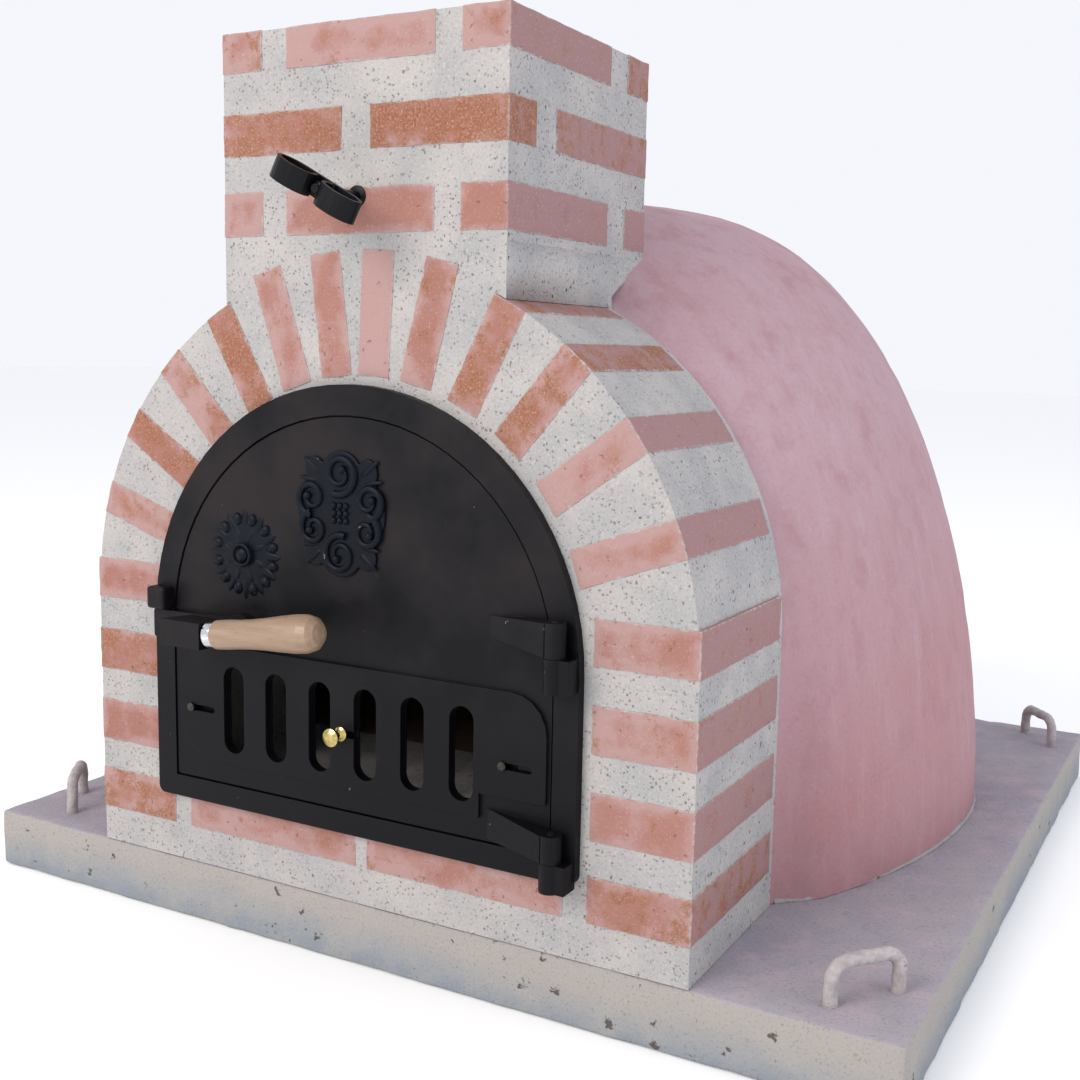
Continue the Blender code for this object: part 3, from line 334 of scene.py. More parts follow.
def firedBrickMaterial():
    # handmade fired clay, rubbed flush: salmon, orange where the skin is worn, a lilac lime film
    made, tree, shader, place = freshMaterial("rubbedFiredBrick")
    tone = put(tree, "ShaderNodeAttribute", attribute_name="brickTone")
    split = put(tree, "ShaderNodeSeparateColor", {"Color": tone.outputs["Color"]})
    shade, worn, film = (split.outputs[i] for i in range(3))
    sides = put(tree, "ShaderNodeAttribute", attribute_name="brickSides")
    three = put(tree, "ShaderNodeSeparateXYZ", {"Vector": sides.outputs["Vector"]})
    wide, deep, tall = three.outputs
    # the middle one of the three distances is the way to the nearest edge
    nearer = sums(tree, 'MINIMUM', wide, deep)
    farther = sums(tree, 'MAXIMUM', wide, deep)
    edge = sums(tree, 'MAXIMUM', nearer, sums(tree, 'MINIMUM', farther, tall))
    mottle = cloud(tree, place, 26, 4.0)
    base = blend(tree, shade, linear("#91635a"), linear("#9f776f"))
    base = blend(tree, share(tree, mottle, 0.35, 0.65, 0.0, 0.5), base, linear("#93655a"))
    # the skin is worn off in grainy patches
    patch = cloud(tree, place, 30, 5.0, 0.74)
    grain = cloud(tree, place, 3.0, 2.0, 0.75)
    reach = sums(tree, 'ADD', sums(tree, 'MULTIPLY', worn, 0.34), patch)
    wornMask = share(tree, sums(tree, 'ADD', reach, sums(tree, 'MULTIPLY', grain, 0.55)), 0.99, 1.08)
    rusty = blend(tree, share(tree, grain, 0.40, 0.62), linear("#814e38"), linear("#996f58"))
    # faces that don't look ahead get painted shade, a darker colour and a darker lime film; the lime film is also
    # thickest there and along the edges
    filmCloud = cloud(tree, place, 48, 3.0)
    filmReach = sums(tree, 'ADD', sums(tree, 'MULTIPLY', film, 0.42), filmCloud)
    nearEdge = share(tree, edge, 0.002, 0.016, 0.22, 0.0)
    facing = put(tree, "ShaderNodeNewGeometry").outputs["Normal"]
    ahead = put(tree, "ShaderNodeSeparateXYZ", {"Vector": facing}).outputs["Y"]
    flankShadeAndFilm = share(tree, sums(tree, 'ABSOLUTE', ahead, 0.0), 0.3, 0.7, 0.30, 0.0)
    # painted shade: faces that don't look ahead are darkened
    base = blend(tree, sums(tree, 'MULTIPLY', flankShadeAndFilm, 1.8), base, linear("#865b58"))
    nearEdge = sums(tree, 'ADD', nearEdge, flankShadeAndFilm)
    nearEdge = sums(tree, 'ADD', nearEdge, sums(tree, 'MULTIPLY', grain, 0.22))
    filmMask = share(tree, sums(tree, 'ADD', filmReach, nearEdge), 0.72, 0.96, 0.0, 0.80)
    # the film is painted darker on those faces as painted shade
    filmColourShadedOnFlanks = blend(tree, sums(tree, 'MULTIPLY', flankShadeAndFilm, 2.5), linear("#a68987"), linear("#917274"))
    base = blend(tree, filmMask, base, filmColourShadedOnFlanks)
    base = blend(tree, sums(tree, 'MULTIPLY', wornMask, 0.85), base, rusty)
    base = blend(tree, share(tree, grain, 0.58, 0.72, 0.0, 0.6), base, linear("#b59c94"))
    # pits are painted dark: painted shade inside the pits
    pitAndShadeMask = speckles(tree, place, 11, 0.20, 0.35)
    base = blend(tree, sums(tree, 'MULTIPLY', pitAndShadeMask, 0.55), base, linear("#55352b"))
    # mortar smeared over the edges, a few millimetres in
    ragged = sums(tree, 'ADD', edge, sums(tree, 'MULTIPLY', cloud(tree, place, 11, 4.0, 0.7), -0.010))
    smear = share(tree, ragged, -0.0056, -0.0032, 1.0, 0.0)
    limeColour, _ = mortarPattern(tree, place, "#adaaa8", "#9d9996")
    base = blend(tree, smear, base, limeColour)
    dips = sums(tree, 'ADD', pitAndShadeMask, sums(tree, 'MULTIPLY', wornMask, 0.35))
    height = sums(tree, 'SUBTRACT', sums(tree, 'MULTIPLY', grain, 0.6), dips)
    surface(tree, shader, base, height, 0.5, 0.0013, 0.88)
    return made


def pinkRenderMaterial():
    # lime render with red oxide, brushed on wet: dusty pink, cloudy, faintly streaked, deeper near the ground
    made, tree, shader, place = freshMaterial("brushedPinkLimeRender")
    height = put(tree, "ShaderNodeSeparateXYZ", {"Vector": place}).outputs["Z"]
    clouds = cloud(tree, place, 240, 5.0, 0.6)
    blotch = cloud(tree, place, 60, 5.0, 0.65)
    streak = cloud(tree, place, 26, 4.0, 0.6, (1.0, 1.0, 0.13))
    fine = cloud(tree, place, 6, 5.0, 0.78)
    low = share(tree, sums(tree, 'ADD', height, sums(tree, 'MULTIPLY', clouds, 0.45)), 0.20, 0.86)
    base = blend(tree, low, linear("#a47374"), linear("#ae9299"))
    base = blend(tree, share(tree, clouds, 0.42, 0.62, 0.0, 0.55), base, linear("#a9868d"))
    base = blend(tree, share(tree, blotch, 0.50, 0.70, 0.0, 0.45), base, linear("#9a6e73"))
    base = blend(tree, share(tree, streak, 0.52, 0.74, 0.0, 0.28), base, linear("#9f7379"))
    base = blend(tree, share(tree, streak, 0.30, 0.46, 0.18, 0.0), base, linear("#b7a4ae"))
    base = blend(tree, share(tree, fine, 0.54, 0.72, 0.0, 0.34), base, linear("#8e5d60"))
    base = blend(tree, share(tree, fine, 0.28, 0.44, 0.30, 0.0), base, linear("#c0a9ae"))
    relief = sums(tree, 'ADD', sums(tree, 'MULTIPLY', streak, 0.8), sums(tree, 'MULTIPLY', fine, 0.35))
    surface(tree, shader, base, relief, 0.45, 0.0022, 0.9)
    return made


def slabMaterial():
    # cast concrete: creamy sides with air holes, bluish grey towards the bottom, and a lilac, dusty top
    made, tree, shader, place = freshMaterial("pittedCastConcrete")
    facing = put(tree, "ShaderNodeNewGeometry").outputs["Normal"]
    upward = put(tree, "ShaderNodeSeparateXYZ", {"Vector": facing}).outputs["Z"]
    broad = cloud(tree, place, 260, 4.0, 0.6)
    blotch = cloud(tree, place, 45, 5.0, 0.65)
    sand = cloud(tree, place, 3.4, 2.0, 0.7)
    height = put(tree, "ShaderNodeSeparateXYZ", {"Vector": place}).outputs["Z"]
    # the sides are darker and bluish grey towards the bottom
    sideRiseShare = share(tree, sums(tree, 'ADD', height, sums(tree, 'MULTIPLY', broad, 0.06)), 0.040, 0.085)
    side = blend(tree, sideRiseShare, linear("#858b93"), linear("#9c9793"))
    side = blend(tree, share(tree, blotch, 0.45, 0.68, 0.0, 0.5), side, linear("#a09c96"))
    top = blend(tree, share(tree, broad, 0.40, 0.62), linear("#928d98"), linear("#9b959c"))
    top = blend(tree, share(tree, blotch, 0.50, 0.68, 0.0, 0.6), top, linear("#ac9aa2"))
    top = blend(tree, share(tree, blotch, 0.30, 0.42, 0.45, 0.0), top, linear("#81838e"))
    base = blend(tree, share(tree, upward, 0.35, 0.75), side, top)
    base = blend(tree, share(tree, sand, 0.56, 0.74, 0.0, 0.5), base, linear("#645e59"))
    base = blend(tree, share(tree, sand, 0.26, 0.40, 0.4, 0.0), base, linear("#aaa7a3"))
    onSide = share(tree, upward, 0.35, 0.75, 1.0, 0.15)
    # air holes are painted dark: painted shade inside the holes
    pitAndShadeMask = sums(tree, 'MULTIPLY', speckles(tree, place, 21, 0.25, 0.60), onSide)
    smallPitAndShadeMask = sums(tree, 'MULTIPLY', speckles(tree, place, 7, 0.22, 0.50), onSide)
    base = blend(tree, sums(tree, 'MULTIPLY', pitAndShadeMask, 0.88), base, linear("#4b423d"))
    base = blend(tree, sums(tree, 'MULTIPLY', smallPitAndShadeMask, 0.6), base, linear("#5f5853"))
    relief = sums(tree, 'SUBTRACT', sums(tree, 'ADD', sums(tree, 'MULTIPLY', sand, 0.4), blotch),
                  sums(tree, 'ADD', pitAndShadeMask, sums(tree, 'MULTIPLY', smallPitAndShadeMask, 0.5)))
    surface(tree, shader, base, relief, 0.6, 0.003, 0.93)
    return made


def ironMaterial(name, dark, dustAndSheen, roughness, shine, grain=1.6, edge=0.0011):
    # sand cast iron under heat proof paint: satin, finely pebbled, with lighter clouds on the upper part that are
    # partly dust and partly a painted sheen
    made, tree, shader, place = freshMaterial(name)
    broad = cloud(tree, place, 160, 4.0, 0.6)
    pebble = cloud(tree, place, grain * 2, 3.0, 0.7)
    height = put(tree, "ShaderNodeSeparateXYZ", {"Vector": place}).outputs["Z"]
    # the lighter clouds, partly dust and partly painted sheen, are kept to the upper part, so the lower part stays
    # darker
    highUp = share(tree, height, 0.30, 0.46, 0.1, 1.0)
    dustAndSheenShare = sums(tree, 'MULTIPLY', share(tree, broad, 0.38, 0.62, 0.0, 0.9), highUp)
    base = blend(tree, dustAndSheenShare, linear(dark), linear(dustAndSheen))
    fleckMask = speckles(tree, place, 18, 0.09, 0.30)
    base = blend(tree, sums(tree, 'MULTIPLY', fleckMask, 0.45), base, linear("#a09080"))
    gloss = share(tree, broad, 0.3, 0.7, roughness - 0.06, roughness + 0.10)
    soft = put(tree, "ShaderNodeBevel", {"Radius": edge}, samples=4)
    bump = put(tree, "ShaderNodeBump", {
        "Strength": 0.35, "Distance": 0.0006, "Height": pebble, "Normal": soft.outputs["Normal"]})
    tree.links.new(base, shader.inputs["Base Color"])
    tree.links.new(gloss, shader.inputs["Roughness"])
    tree.links.new(bump.outputs["Normal"], shader.inputs["Normal"])
    shader.inputs["Specular IOR Level"].default_value = shine
    return made


def metalMaterial(name, colour, worn, roughness):
    # bare or plated metal with a soft, slightly blotchy shine
    made, tree, shader, place = freshMaterial(name)
    broad = cloud(tree, place, 9, 4.0, 0.6)
    fine = cloud(tree, place, 1.2, 2.0, 0.6)
    base = blend(tree, share(tree, broad, 0.42, 0.66), linear(colour), linear(worn))
    gloss = share(tree, broad, 0.3, 0.7, roughness * 0.8, roughness * 1.4)
    bump = put(tree, "ShaderNodeBump", {"Strength": 0.12, "Distance": 0.0002, "Height": fine})
    tree.links.new(base, shader.inputs["Base Color"])
    tree.links.new(gloss, shader.inputs["Roughness"])
    tree.links.new(bump.outputs["Normal"], shader.inputs["Normal"])
    shader.inputs["Metallic"].default_value = 1.0
    return made


def beechMaterial():
    # turned beech, oiled: pale straw, short brown flecks along the grain
    made, tree, shader, place = freshMaterial("oiledTurnedBeech")
    bands = cloud(tree, place, 9, 3.0, 0.5, (0.07, 1.0, 1.0))
    pores = cloud(tree, place, 1.5, 2.0, 0.6, (0.08, 1.0, 1.0))
    base = blend(tree, share(tree, bands, 0.35, 0.65), linear("#97816e"), linear("#8b7159"))
    base = blend(tree, share(tree, pores, 0.58, 0.72, 0.0, 0.6), base, linear("#745538"))
    surface(tree, shader, base, pores, 0.15, 0.0004, 0.42, 0.5)
    shader.inputs["Coat Weight"].default_value = 0.15
    shader.inputs["Coat Roughness"].default_value = 0.3
    return made


def refractoryMaterial():
    # fire clay tiles and castable: buff clay painted darker as painted shade for the closed chamber, sandy, joints
    # every 300 mm, a breath of soot
    made, tree, shader, place = freshMaterial("sandyFireClay")
    tiles = put(tree, "ShaderNodeTexBrick", {
        "Vector": place, "Scale": 1.0, "Mortar Size": 0.0016, "Mortar Smooth": 0.3,
        "Brick Width": 0.30, "Row Height": 0.30}, offset=0.0)
    sand = cloud(tree, place, 4, 3.0, 0.7)
    sootAndShade = cloud(tree, place, 180, 4.0, 0.6)
    # the clay's colours are darkened: painted shade inside the chamber, with soot patches
    base = blend(tree, share(tree, sand, 0.35, 0.70), linear("#776050"), linear("#67503d"))
    base = blend(tree, share(tree, sootAndShade, 0.45, 0.70, 0.0, 0.6), base, linear("#423630"))
    base = blend(tree, sums(tree, 'MULTIPLY', tiles.outputs["Fac"], 0.8), base, linear("#352b24"))
    relief = sums(tree, 'SUBTRACT', sand, tiles.outputs["Fac"])
    surface(tree, shader, base, relief, 0.5, 0.001, 0.95, 0.5)
    return made


def fibreMaterial():
    # ceramic fibre blanket: chalky white and matted
    made, tree, shader, place = freshMaterial("mattedCeramicFibre")
    matted = cloud(tree, place, 6, 5.0, 0.7, (1.0, 1.0, 0.3))
    base = blend(tree, share(tree, matted, 0.35, 0.65), linear("#a7a39d"), linear("#bcb8b5"))
    surface(tree, shader, base, matted, 0.6, 0.002, 1.0, 0.5)
    return made


def loopMaterial():
    # reinforcing bar caked in slurry: pinkish grey crust, rust where it has chipped
    made, tree, shader, place = freshMaterial("slurryCakedBar")
    crust = cloud(tree, place, 12, 5.0, 0.7)
    grain = cloud(tree, place, 3, 2.0, 0.7)
    base = blend(tree, share(tree, crust, 0.38, 0.60), linear("#9a9091"), linear("#b0aaab"))
    base = blend(tree, share(tree, crust, 0.62, 0.72, 0.0, 0.8), base, linear("#704d40"))
    base = blend(tree, share(tree, grain, 0.60, 0.76, 0.0, 0.5), base, linear("#666264"))
    surface(tree, shader, base, grain, 0.6, 0.0015, 0.93, 0.5)
    return made


mortarMade = limeMortarMaterial()
brickMade = firedBrickMaterial()
renderMade = pinkRenderMaterial()
slabMade = slabMaterial()
doorMade = ironMaterial("satinPaintedCastIron", "#05060a", "#221d20", 0.44, 0.15)
ornamentMade = ironMaterial("blueBlackPaintedCastIron", "#02060f", "#060c18", 0.36, 0.14, 1.2, 0.0008)
strapMade = ironMaterial("blackPaintedForgedSteel", "#04050a", "#090a11", 0.32, 0.16, 1.2, 0.0006)
# zinc plate gone dull: warm grey, a little blotchy
zincMade = metalMaterial("dulledZincPlate", "#4b4844", "#35312d", 0.42)
# polished chrome plate: bright and cool, faintly hazed
chromeMade = metalMaterial("polishedChromePlate", "#d8dade", "#b9bcc2", 0.10)
# polished brass: yellow, a touch of tarnish
brassMade = metalMaterial("polishedBrass", "#cdb878", "#a8935a", 0.20)
beechMade = beechMaterial()
fireClayMade = refractoryMaterial()
fibreMade = fibreMaterial()
loopMade = loopMaterial()

finishes = {
    "slab_concrete": slabMade, "lime_mortar": mortarMade, "fired_brick": brickMade,
    "pink_lime_render": renderMade, "ceramic_fibre": fibreMade, "refractory_clay": fireClayMade,
    "black_cast_iron": doorMade, "black_steel": strapMade, "zinc_plated_steel": zincMade,
    "chromed_steel": chromeMade, "polished_brass": brassMade, "beech": beechMade,
    "mortared_rebar": loopMade,
}
slotOf = {row["node"]: row["material_slot"] for row in frame["record"]["subparts"]}
for nodeName, cadNode in nodes.items():
    made = finishes[slotOf[nodeName]]
    if not cadNode.material_slots:
        cadNode.data.materials.append(made)
    for held in cadNode.material_slots:
        held.material = made
print("materials are on the CAD pieces")


# bricks: each one is a little larger than its CAD brick, so that no gap shows round it

bricks = {
    "proud": 0.0011,        # how far a face stands out of the mortar
    "cell": 0.046,          # first cuts, before the fine subdivision
    "arris": 0.0016,
    "fineLevels": 2,
    "waver": 0.0020,        # how far faces and edges wander
    "waverSize": 0.020,
    "smooth": 50,           # degrees
    "archCentre": Vector((-0.0105, 0.0, 0.420)),
    "backBrick": ((-0.116, -0.362, 0.972), (0.088, -0.304, 1.0191)),     # low and high corner
    "seed": 11,
    # (shade, worn, lime film), each 0 to 1, for the bricks that differ from the rest
    "looks": {
        "arch_brick_key": (0.9, 0.05, 1.0),
        "arch_brick_left_1": (0.6, 0.35, 0.2), "arch_brick_left_2": (0.6, 0.4, 0.3),
        "arch_brick_left_3": (0.2, 0.9, 0.1), "arch_brick_left_4": (0.5, 0.6, 0.5),
        "arch_brick_left_5": (0.3, 0.85, 0.1), "arch_brick_left_6": (0.6, 0.5, 0.5),
        "arch_brick_right_1": (0.4, 0.45, 0.2), "arch_brick_right_2": (0.5, 0.7, 0.3),
        "arch_brick_right_3": (0.3, 0.8, 0.3), "arch_brick_right_4": (0.7, 0.3, 0.7),
        "arch_brick_right_5": (0.7, 0.3, 0.6),
        "chimney_brick_1_front": (0.7, 0.3, 0.6), "chimney_brick_1_left": (0.5, 0.5, 0.4),
        "chimney_brick_2_front_left": (0.2, 0.85, 0.3), "chimney_brick_2_front_right": (0.1, 1.0, 0.3),
        "chimney_brick_3_front": (0.5, 0.25, 0.1), "chimney_brick_3_right": (0.4, 0.2, 0.2),
        "base_brick_middle_1": (0.5, 0.45, 0.6), "base_brick_middle_2": (0.5, 0.45, 0.6),
        "pier_brick_left_2": (0.3, 0.8, 0.2),
    },
}
chance = random.Random(bricks["seed"])


def cutInCells(centre, size, cell):
    # cuts what is being edited into cells, straight across each axis
    for axis in range(3):
        count = max(1, round(size[axis] / cell))
        normal = [0.0, 0.0, 0.0]
        normal[axis] = 1.0
        for k in range(1, count):
            at = list(centre)
            at[axis] += size[axis] * (k / count - 0.5)
            bpy.ops.mesh.select_all(action='SELECT')
            bpy.ops.mesh.bisect(plane_co=at, plane_no=normal)


def wornBlock(name, low, high, cell, arris, levels):
    # a block cut into cells, with rounded edges and a fine mesh
    size = [b - a for a, b in zip(low, high)]
    centre = [(a + b) / 2 for a, b in zip(low, high)]
    clearSelection()
    bpy.ops.mesh.primitive_cube_add(size=1, location=centre)
    block = bpy.context.object
    block.name = name
    block.scale = size
    placeInMesh(block)
    bpy.ops.object.mode_set(mode='EDIT')
    cutInCells(centre, size, cell)
    bpy.ops.object.mode_set(mode='OBJECT')
    rounded = block.modifiers.new("arris", 'BEVEL')
    rounded.width = arris
    rounded.segments = 2
    rounded.limit_method = 'ANGLE'
    rounded.angle_limit = math.radians(40)
    finer = block.modifiers.new("fine", 'SUBSURF')
    finer.subdivision_type = 'SIMPLE'
    finer.levels = finer.render_levels = levels
    applyAll(block)
    return block


def layBrick(name, low, high, angle=0.0, centre=(0, 0, 0)):
    # the box is given unturned, and then turned about Y and moved to the centre
    proud = bricks["proud"]
    low = [v - proud for v in low]
    high = [v + proud for v in high]
    brick = wornBlock(name + "_worn", low, high, bricks["cell"], bricks["arris"], bricks["fineLevels"])
    sides = brick.data.attributes.new("brickSides", 'FLOAT_VECTOR', 'POINT')
    for vert, value in zip(brick.data.vertices, sides.data):
        value.vector = [max(0.0, min(vert.co[i] - low[i], high[i] - vert.co[i])) for i in range(3)]
    look = bricks["looks"].get(name)
    drawn = (chance.uniform(0.2, 0.8), chance.uniform(0.15, 0.75), chance.uniform(0.1, 0.7))
    tone = brick.data.attributes.new("brickTone", 'FLOAT_COLOR', 'POINT')
    for value in tone.data:
        value.color = (*(look or drawn), 1.0)       # a brick with no look of its own takes a drawn one
    brick.location = centre
    brick.rotation_euler = (0, angle, 0)
    placeInMesh(brick)
    roughen(brick, bricks["waver"], bricks["waverSize"], 2, "brickWaver")
    applyAll(brick)
    return dress(brick, brickMade, "oven", bricks["smooth"])


def measureBrick(node):
    # the brick's corners about the arch's centre, and its angle from the top
    corners = {tuple(round(c, 5) for c in vert.co) for vert in node.data.vertices}
    points = [Vector(c) for c in corners]
    middle = sum(points, Vector()) / len(points) - bricks["archCentre"]
    angle = math.atan2(middle.x, middle.z)
    back = Matrix.Rotation(-angle, 3, 'Y')
    turned = [back @ (p - bricks["archCentre"]) for p in points]
    low = [min(p[i] for p in turned) for i in range(3)]
    high = [max(p[i] for p in turned) for i in range(3)]
    return low, high, angle


for nodeName in sorted(nodes):
    if slotOf[nodeName] != "fired_brick":
        continue
    if nodeName.startswith("arch_brick"):
        low, high, angle = measureBrick(nodes[nodeName])
        made = layBrick(nodeName, low, high, angle, bricks["archCentre"])
    else:
        low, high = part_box(nodeName)
        made = layBrick(nodeName, low, high)
    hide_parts(nodeName)
layBrick("chimney_brick_2_back", *bricks["backBrick"])
print("bricks are laid")


# dome: an egg in plan, taken round smoothly and brushed

dome = {
    "centreX": -0.0105, "centreY": 0.070, "foot": 0.0803, "halfWidth": 0.572, "frontLength": 0.715,
    "frontGrowth": 0.200, "backLength": 0.520, "height": 0.8945, "planPower": 2.05, "sidePower": 2.50,
    "topPower": 1.85, "thick": 0.0235, "cutY": -0.3905, "segments": 160, "rings": 96,
    "brushing": 0.0035, "brushSize": 0.055, "lip": 0.045, "tuck": 0.0015,
    "wallRadius": 0.4285, "springZ": 0.420, "smooth": 60,
    "jointRadius": 0.0036, "jointPoints": 90, "jointStart": -45, "jointSweep": 270, "jointLift": 0.001,
    "jointWaver": 0.003, "jointWaverSize": 0.018,
}


def tuckLip(point):
    # close to the wall the render is feathered in, to meet the wall's back edge
    near = min(1.0, max(0.0, (dome["cutY"] + dome["lip"] - point.y) / dome["lip"]))
    near = near * near * (3 - 2 * near)     # eased, so that no crease shows
    x, rise = point.x - dome["centreX"], max(0.0, point.z - dome["springZ"])
    reach = math.hypot(x, rise)
    wanted = dome["wallRadius"] - dome["tuck"]
    if reach > wanted:
        pull = 1 - near * (1 - wanted / reach)
        point.x = dome["centreX"] + x * pull
        point.z -= rise * (1 - pull)


def shapeDome():
    clearSelection()
    bpy.ops.mesh.primitive_uv_sphere_add(segments=dome["segments"], ring_count=dome["rings"], radius=1)
    made = bpy.context.object
    made.name = "dome_render"
    bpy.ops.object.mode_set(mode='EDIT')
    bpy.ops.mesh.select_all(action='SELECT')
    bpy.ops.mesh.bisect(plane_co=(0, 0, 0), plane_no=(0, 0, 1), clear_inner=True)
    bpy.ops.object.mode_set(mode='OBJECT')
    plan = 2 / dome["planPower"]
    for vert in made.data.vertices:
        x, y, z = vert.co
        across = min(1.0, math.hypot(x, y))
        turn = math.atan2(y, x)
        rise = max(0.0, min(1.0, z)) ** (2 / dome["topPower"])
        reach = across ** (2 / dome["sidePower"])
        length = dome["frontLength"] + dome["frontGrowth"] * rise if y < 0 else dome["backLength"]
        alongX = math.copysign(abs(math.cos(turn)) ** plan, math.cos(turn))
        alongY = math.copysign(abs(math.sin(turn)) ** plan, math.sin(turn))
        vert.co = (dome["centreX"] + dome["halfWidth"] * alongX * reach,
                   dome["centreY"] + length * alongY * reach, dome["foot"] + dome["height"] * rise)
    pick(made)
    bpy.ops.object.mode_set(mode='EDIT')
    bpy.ops.mesh.select_all(action='SELECT')
    bpy.ops.mesh.bisect(plane_co=(0, dome["cutY"], 0), plane_no=(0, 1, 0), clear_inner=True)
    bpy.ops.mesh.select_all(action='SELECT')
    bpy.ops.mesh.normals_make_consistent(inside=False)
    bpy.ops.object.mode_set(mode='OBJECT')
    for vert in made.data.vertices:
        tuckLip(vert.co)
    roughen(made, dome["brushing"], dome["brushSize"], 3, "brushing")
    wall = made.modifiers.new("wall", 'SOLIDIFY')
    wall.thickness = dome["thick"]
    wall.offset = -1
    applyAll(made)
    dress(made, renderMade, "oven", dome["smooth"])
    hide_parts("render_dome")


def pointDomeFoot():
    # a thin bead of concrete closes the joint between dome and slab
    line = bpy.data.curves.new("domeFoot", 'CURVE')
    line.dimensions = '3D'
    line.bevel_depth = dome["jointRadius"]
    line.bevel_resolution = 2
    line.use_fill_caps = True
    points = []
    for k in range(dome["jointPoints"] + 1):
        turn = math.radians(dome["jointStart"] + dome["jointSweep"] * k / dome["jointPoints"])
        length = dome["frontLength"] if math.sin(turn) < 0 else dome["backLength"]
        point = Vector((dome["centreX"] + dome["halfWidth"] * math.cos(turn),
                        dome["centreY"] + length * math.sin(turn), dome["foot"] + dome["jointLift"]))
        if point.y > dome["cutY"]:
            tuckLip(point)
            points.append(point)
    spline = line.splines.new('POLY')
    spline.points.add(len(points) - 1)
    for held, point in zip(spline.points, points):
        held.co = (*point, 1)
    drawn = bpy.data.objects.new("dome_foot_joint", line)
    scene.collection.objects.link(drawn)
    pick(drawn)
    bpy.ops.object.convert(target='MESH')
    made = bpy.context.object
    finer = made.modifiers.new("finer", 'SUBSURF')
    finer.subdivision_type = 'SIMPLE'
    finer.levels = finer.render_levels = 1
    roughen(made, dome["jointWaver"], dome["jointWaverSize"], 2, "jointGrit")
    applyAll(made)
    dress(made, slabMade, "oven", 180)


shapeDome()
pointDomeFoot()
print("dome is shaped")


# mortar: the arch is one smooth skin, and the chimney's foot sits right on it

mortar = {
    "chimneyFoot": 0.869,       # what is lower in the chimney's mortar is set on the arch
    "skinDepth": 0.004,         # how far from the outside a face still counts as outside
}


def skinMortar():
    arch = ownCopy("arch_mortar", "arch_mortar_skin")
    for face in arch.data.polygons:
        rise = max(0.0, face.center.z - dome["springZ"])
        reach = math.hypot(face.center.x - dome["centreX"], rise)
        outside = reach > dome["wallRadius"] - mortar["skinDepth"]
        face.use_smooth = outside and abs(face.normal.y) < 0.01
    dress(arch, mortarMade, "oven")
    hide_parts("arch_mortar")
    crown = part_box("arch_mortar")[1][2]
    chimney = ownCopy("chimney_mortar", "chimney_mortar_skin")
    for vert in chimney.data.vertices:
        if vert.co.z < mortar["chimneyFoot"]:
            vert.co.z = crown
    dress(chimney, mortarMade, "oven")
    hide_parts("chimney_mortar")


skinMortar()


# slab: a cast block with softened, slightly ragged edges

slab = {
    "cell": 0.08, "arris": 0.0035, "levels": 2, "waver": 0.0045, "waverSize": 0.030,
    "inset": 0.0008,        # keeps the wavy faces in the CAD slab's size
    "smooth": 50,
}


def castSlab():
    low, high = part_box("base_slab")
    low = [v + slab["inset"] for v in low]
    high = [v - slab["inset"] for v in high]
    made = wornBlock("slab_cast", low, high, slab["cell"], slab["arris"], slab["levels"])
    roughen(made, slab["waver"], slab["waverSize"], 3, "castWaver")
    applyAll(made)
    dress(made, slabMade, "oven", slab["smooth"])
    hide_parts("base_slab")


castSlab()


# lifting loops: the CAD bar, caked in slurry

loops = {"voxel": 0.0024, "crust": 0.0034, "crustSize": 0.012, "middle": 0.12, "smoothing": 3}


def cakeLoop(nodeName):
    made = ownCopy(nodeName, nodeName + "_caked")
    crust = made.modifiers.new("crust", 'REMESH')
    crust.mode = 'VOXEL'
    crust.voxel_size = loops["voxel"]
    roughen(made, loops["crust"], loops["crustSize"], 2, "slurry", loops["middle"])
    calm = made.modifiers.new("calm", 'SMOOTH')
    calm.iterations = loops["smoothing"]
    applyAll(made)
    dress(made, loopMade, "oven", 180)
    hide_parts(nodeName)


for corner in ("fl", "fr", "rl", "rr"):
    cakeLoop("lifting_loop_" + corner)
print("slab and loops are cast")


# door ornaments: a rosette and a scrolled cartouche, cast on the leaf

leafFace = -0.6606      # the flat face of the leaf

rosette = {
    "x": -0.178, "z": 0.497, "outerPetals": 12, "outerFrom": 0.014, "outerTo": 0.056, "outerWidth": 0.0290,
    "outerHeight": 0.0072, "innerPetals": 8, "innerFrom": 0.008, "innerTo": 0.037, "innerWidth": 0.0260,
    "innerHeight": 0.0104, "boss": 0.0095, "bossHeight": 0.0120, "beads": 12, "beadAt": 0.0440, "beadSize": 0.0085,
    "backing": 0.043, "backingHeight": 0.0045, "lift": 0.0008, "smooth": 60,
    "collarShare": 1.35, "collarWire": 0.0022, "collarAt": -0.0085, "bossAt": -0.006,
}


def petal(start, end, width, height):
    # a leaf along +X, pointed at its tip and creased down its middle
    clearSelection()
    bpy.ops.mesh.primitive_uv_sphere_add(segments=16, ring_count=12, radius=1)
    leaf = bpy.context.object
    leaf.rotation_euler = (0, math.pi / 2, 0)
    placeInMesh(leaf)
    leaf.location = ((start + end) / 2, 0, 0)
    leaf.scale = ((end - start) / 2, height, width / 2)
    placeInMesh(leaf)
    for where, pinch in ((0.62, 0.94), (0.78, 0.80), (0.90, 0.60)):
        limit = start + (end - start) * where
        for vert in leaf.data.vertices:
            vert.select = vert.co.x > limit
        bpy.ops.object.mode_set(mode='EDIT')
        bpy.ops.transform.resize(value=(1, pinch, pinch), center_override=((start + end) / 2, 0, 0))
        bpy.ops.object.mode_set(mode='OBJECT')
    return leaf


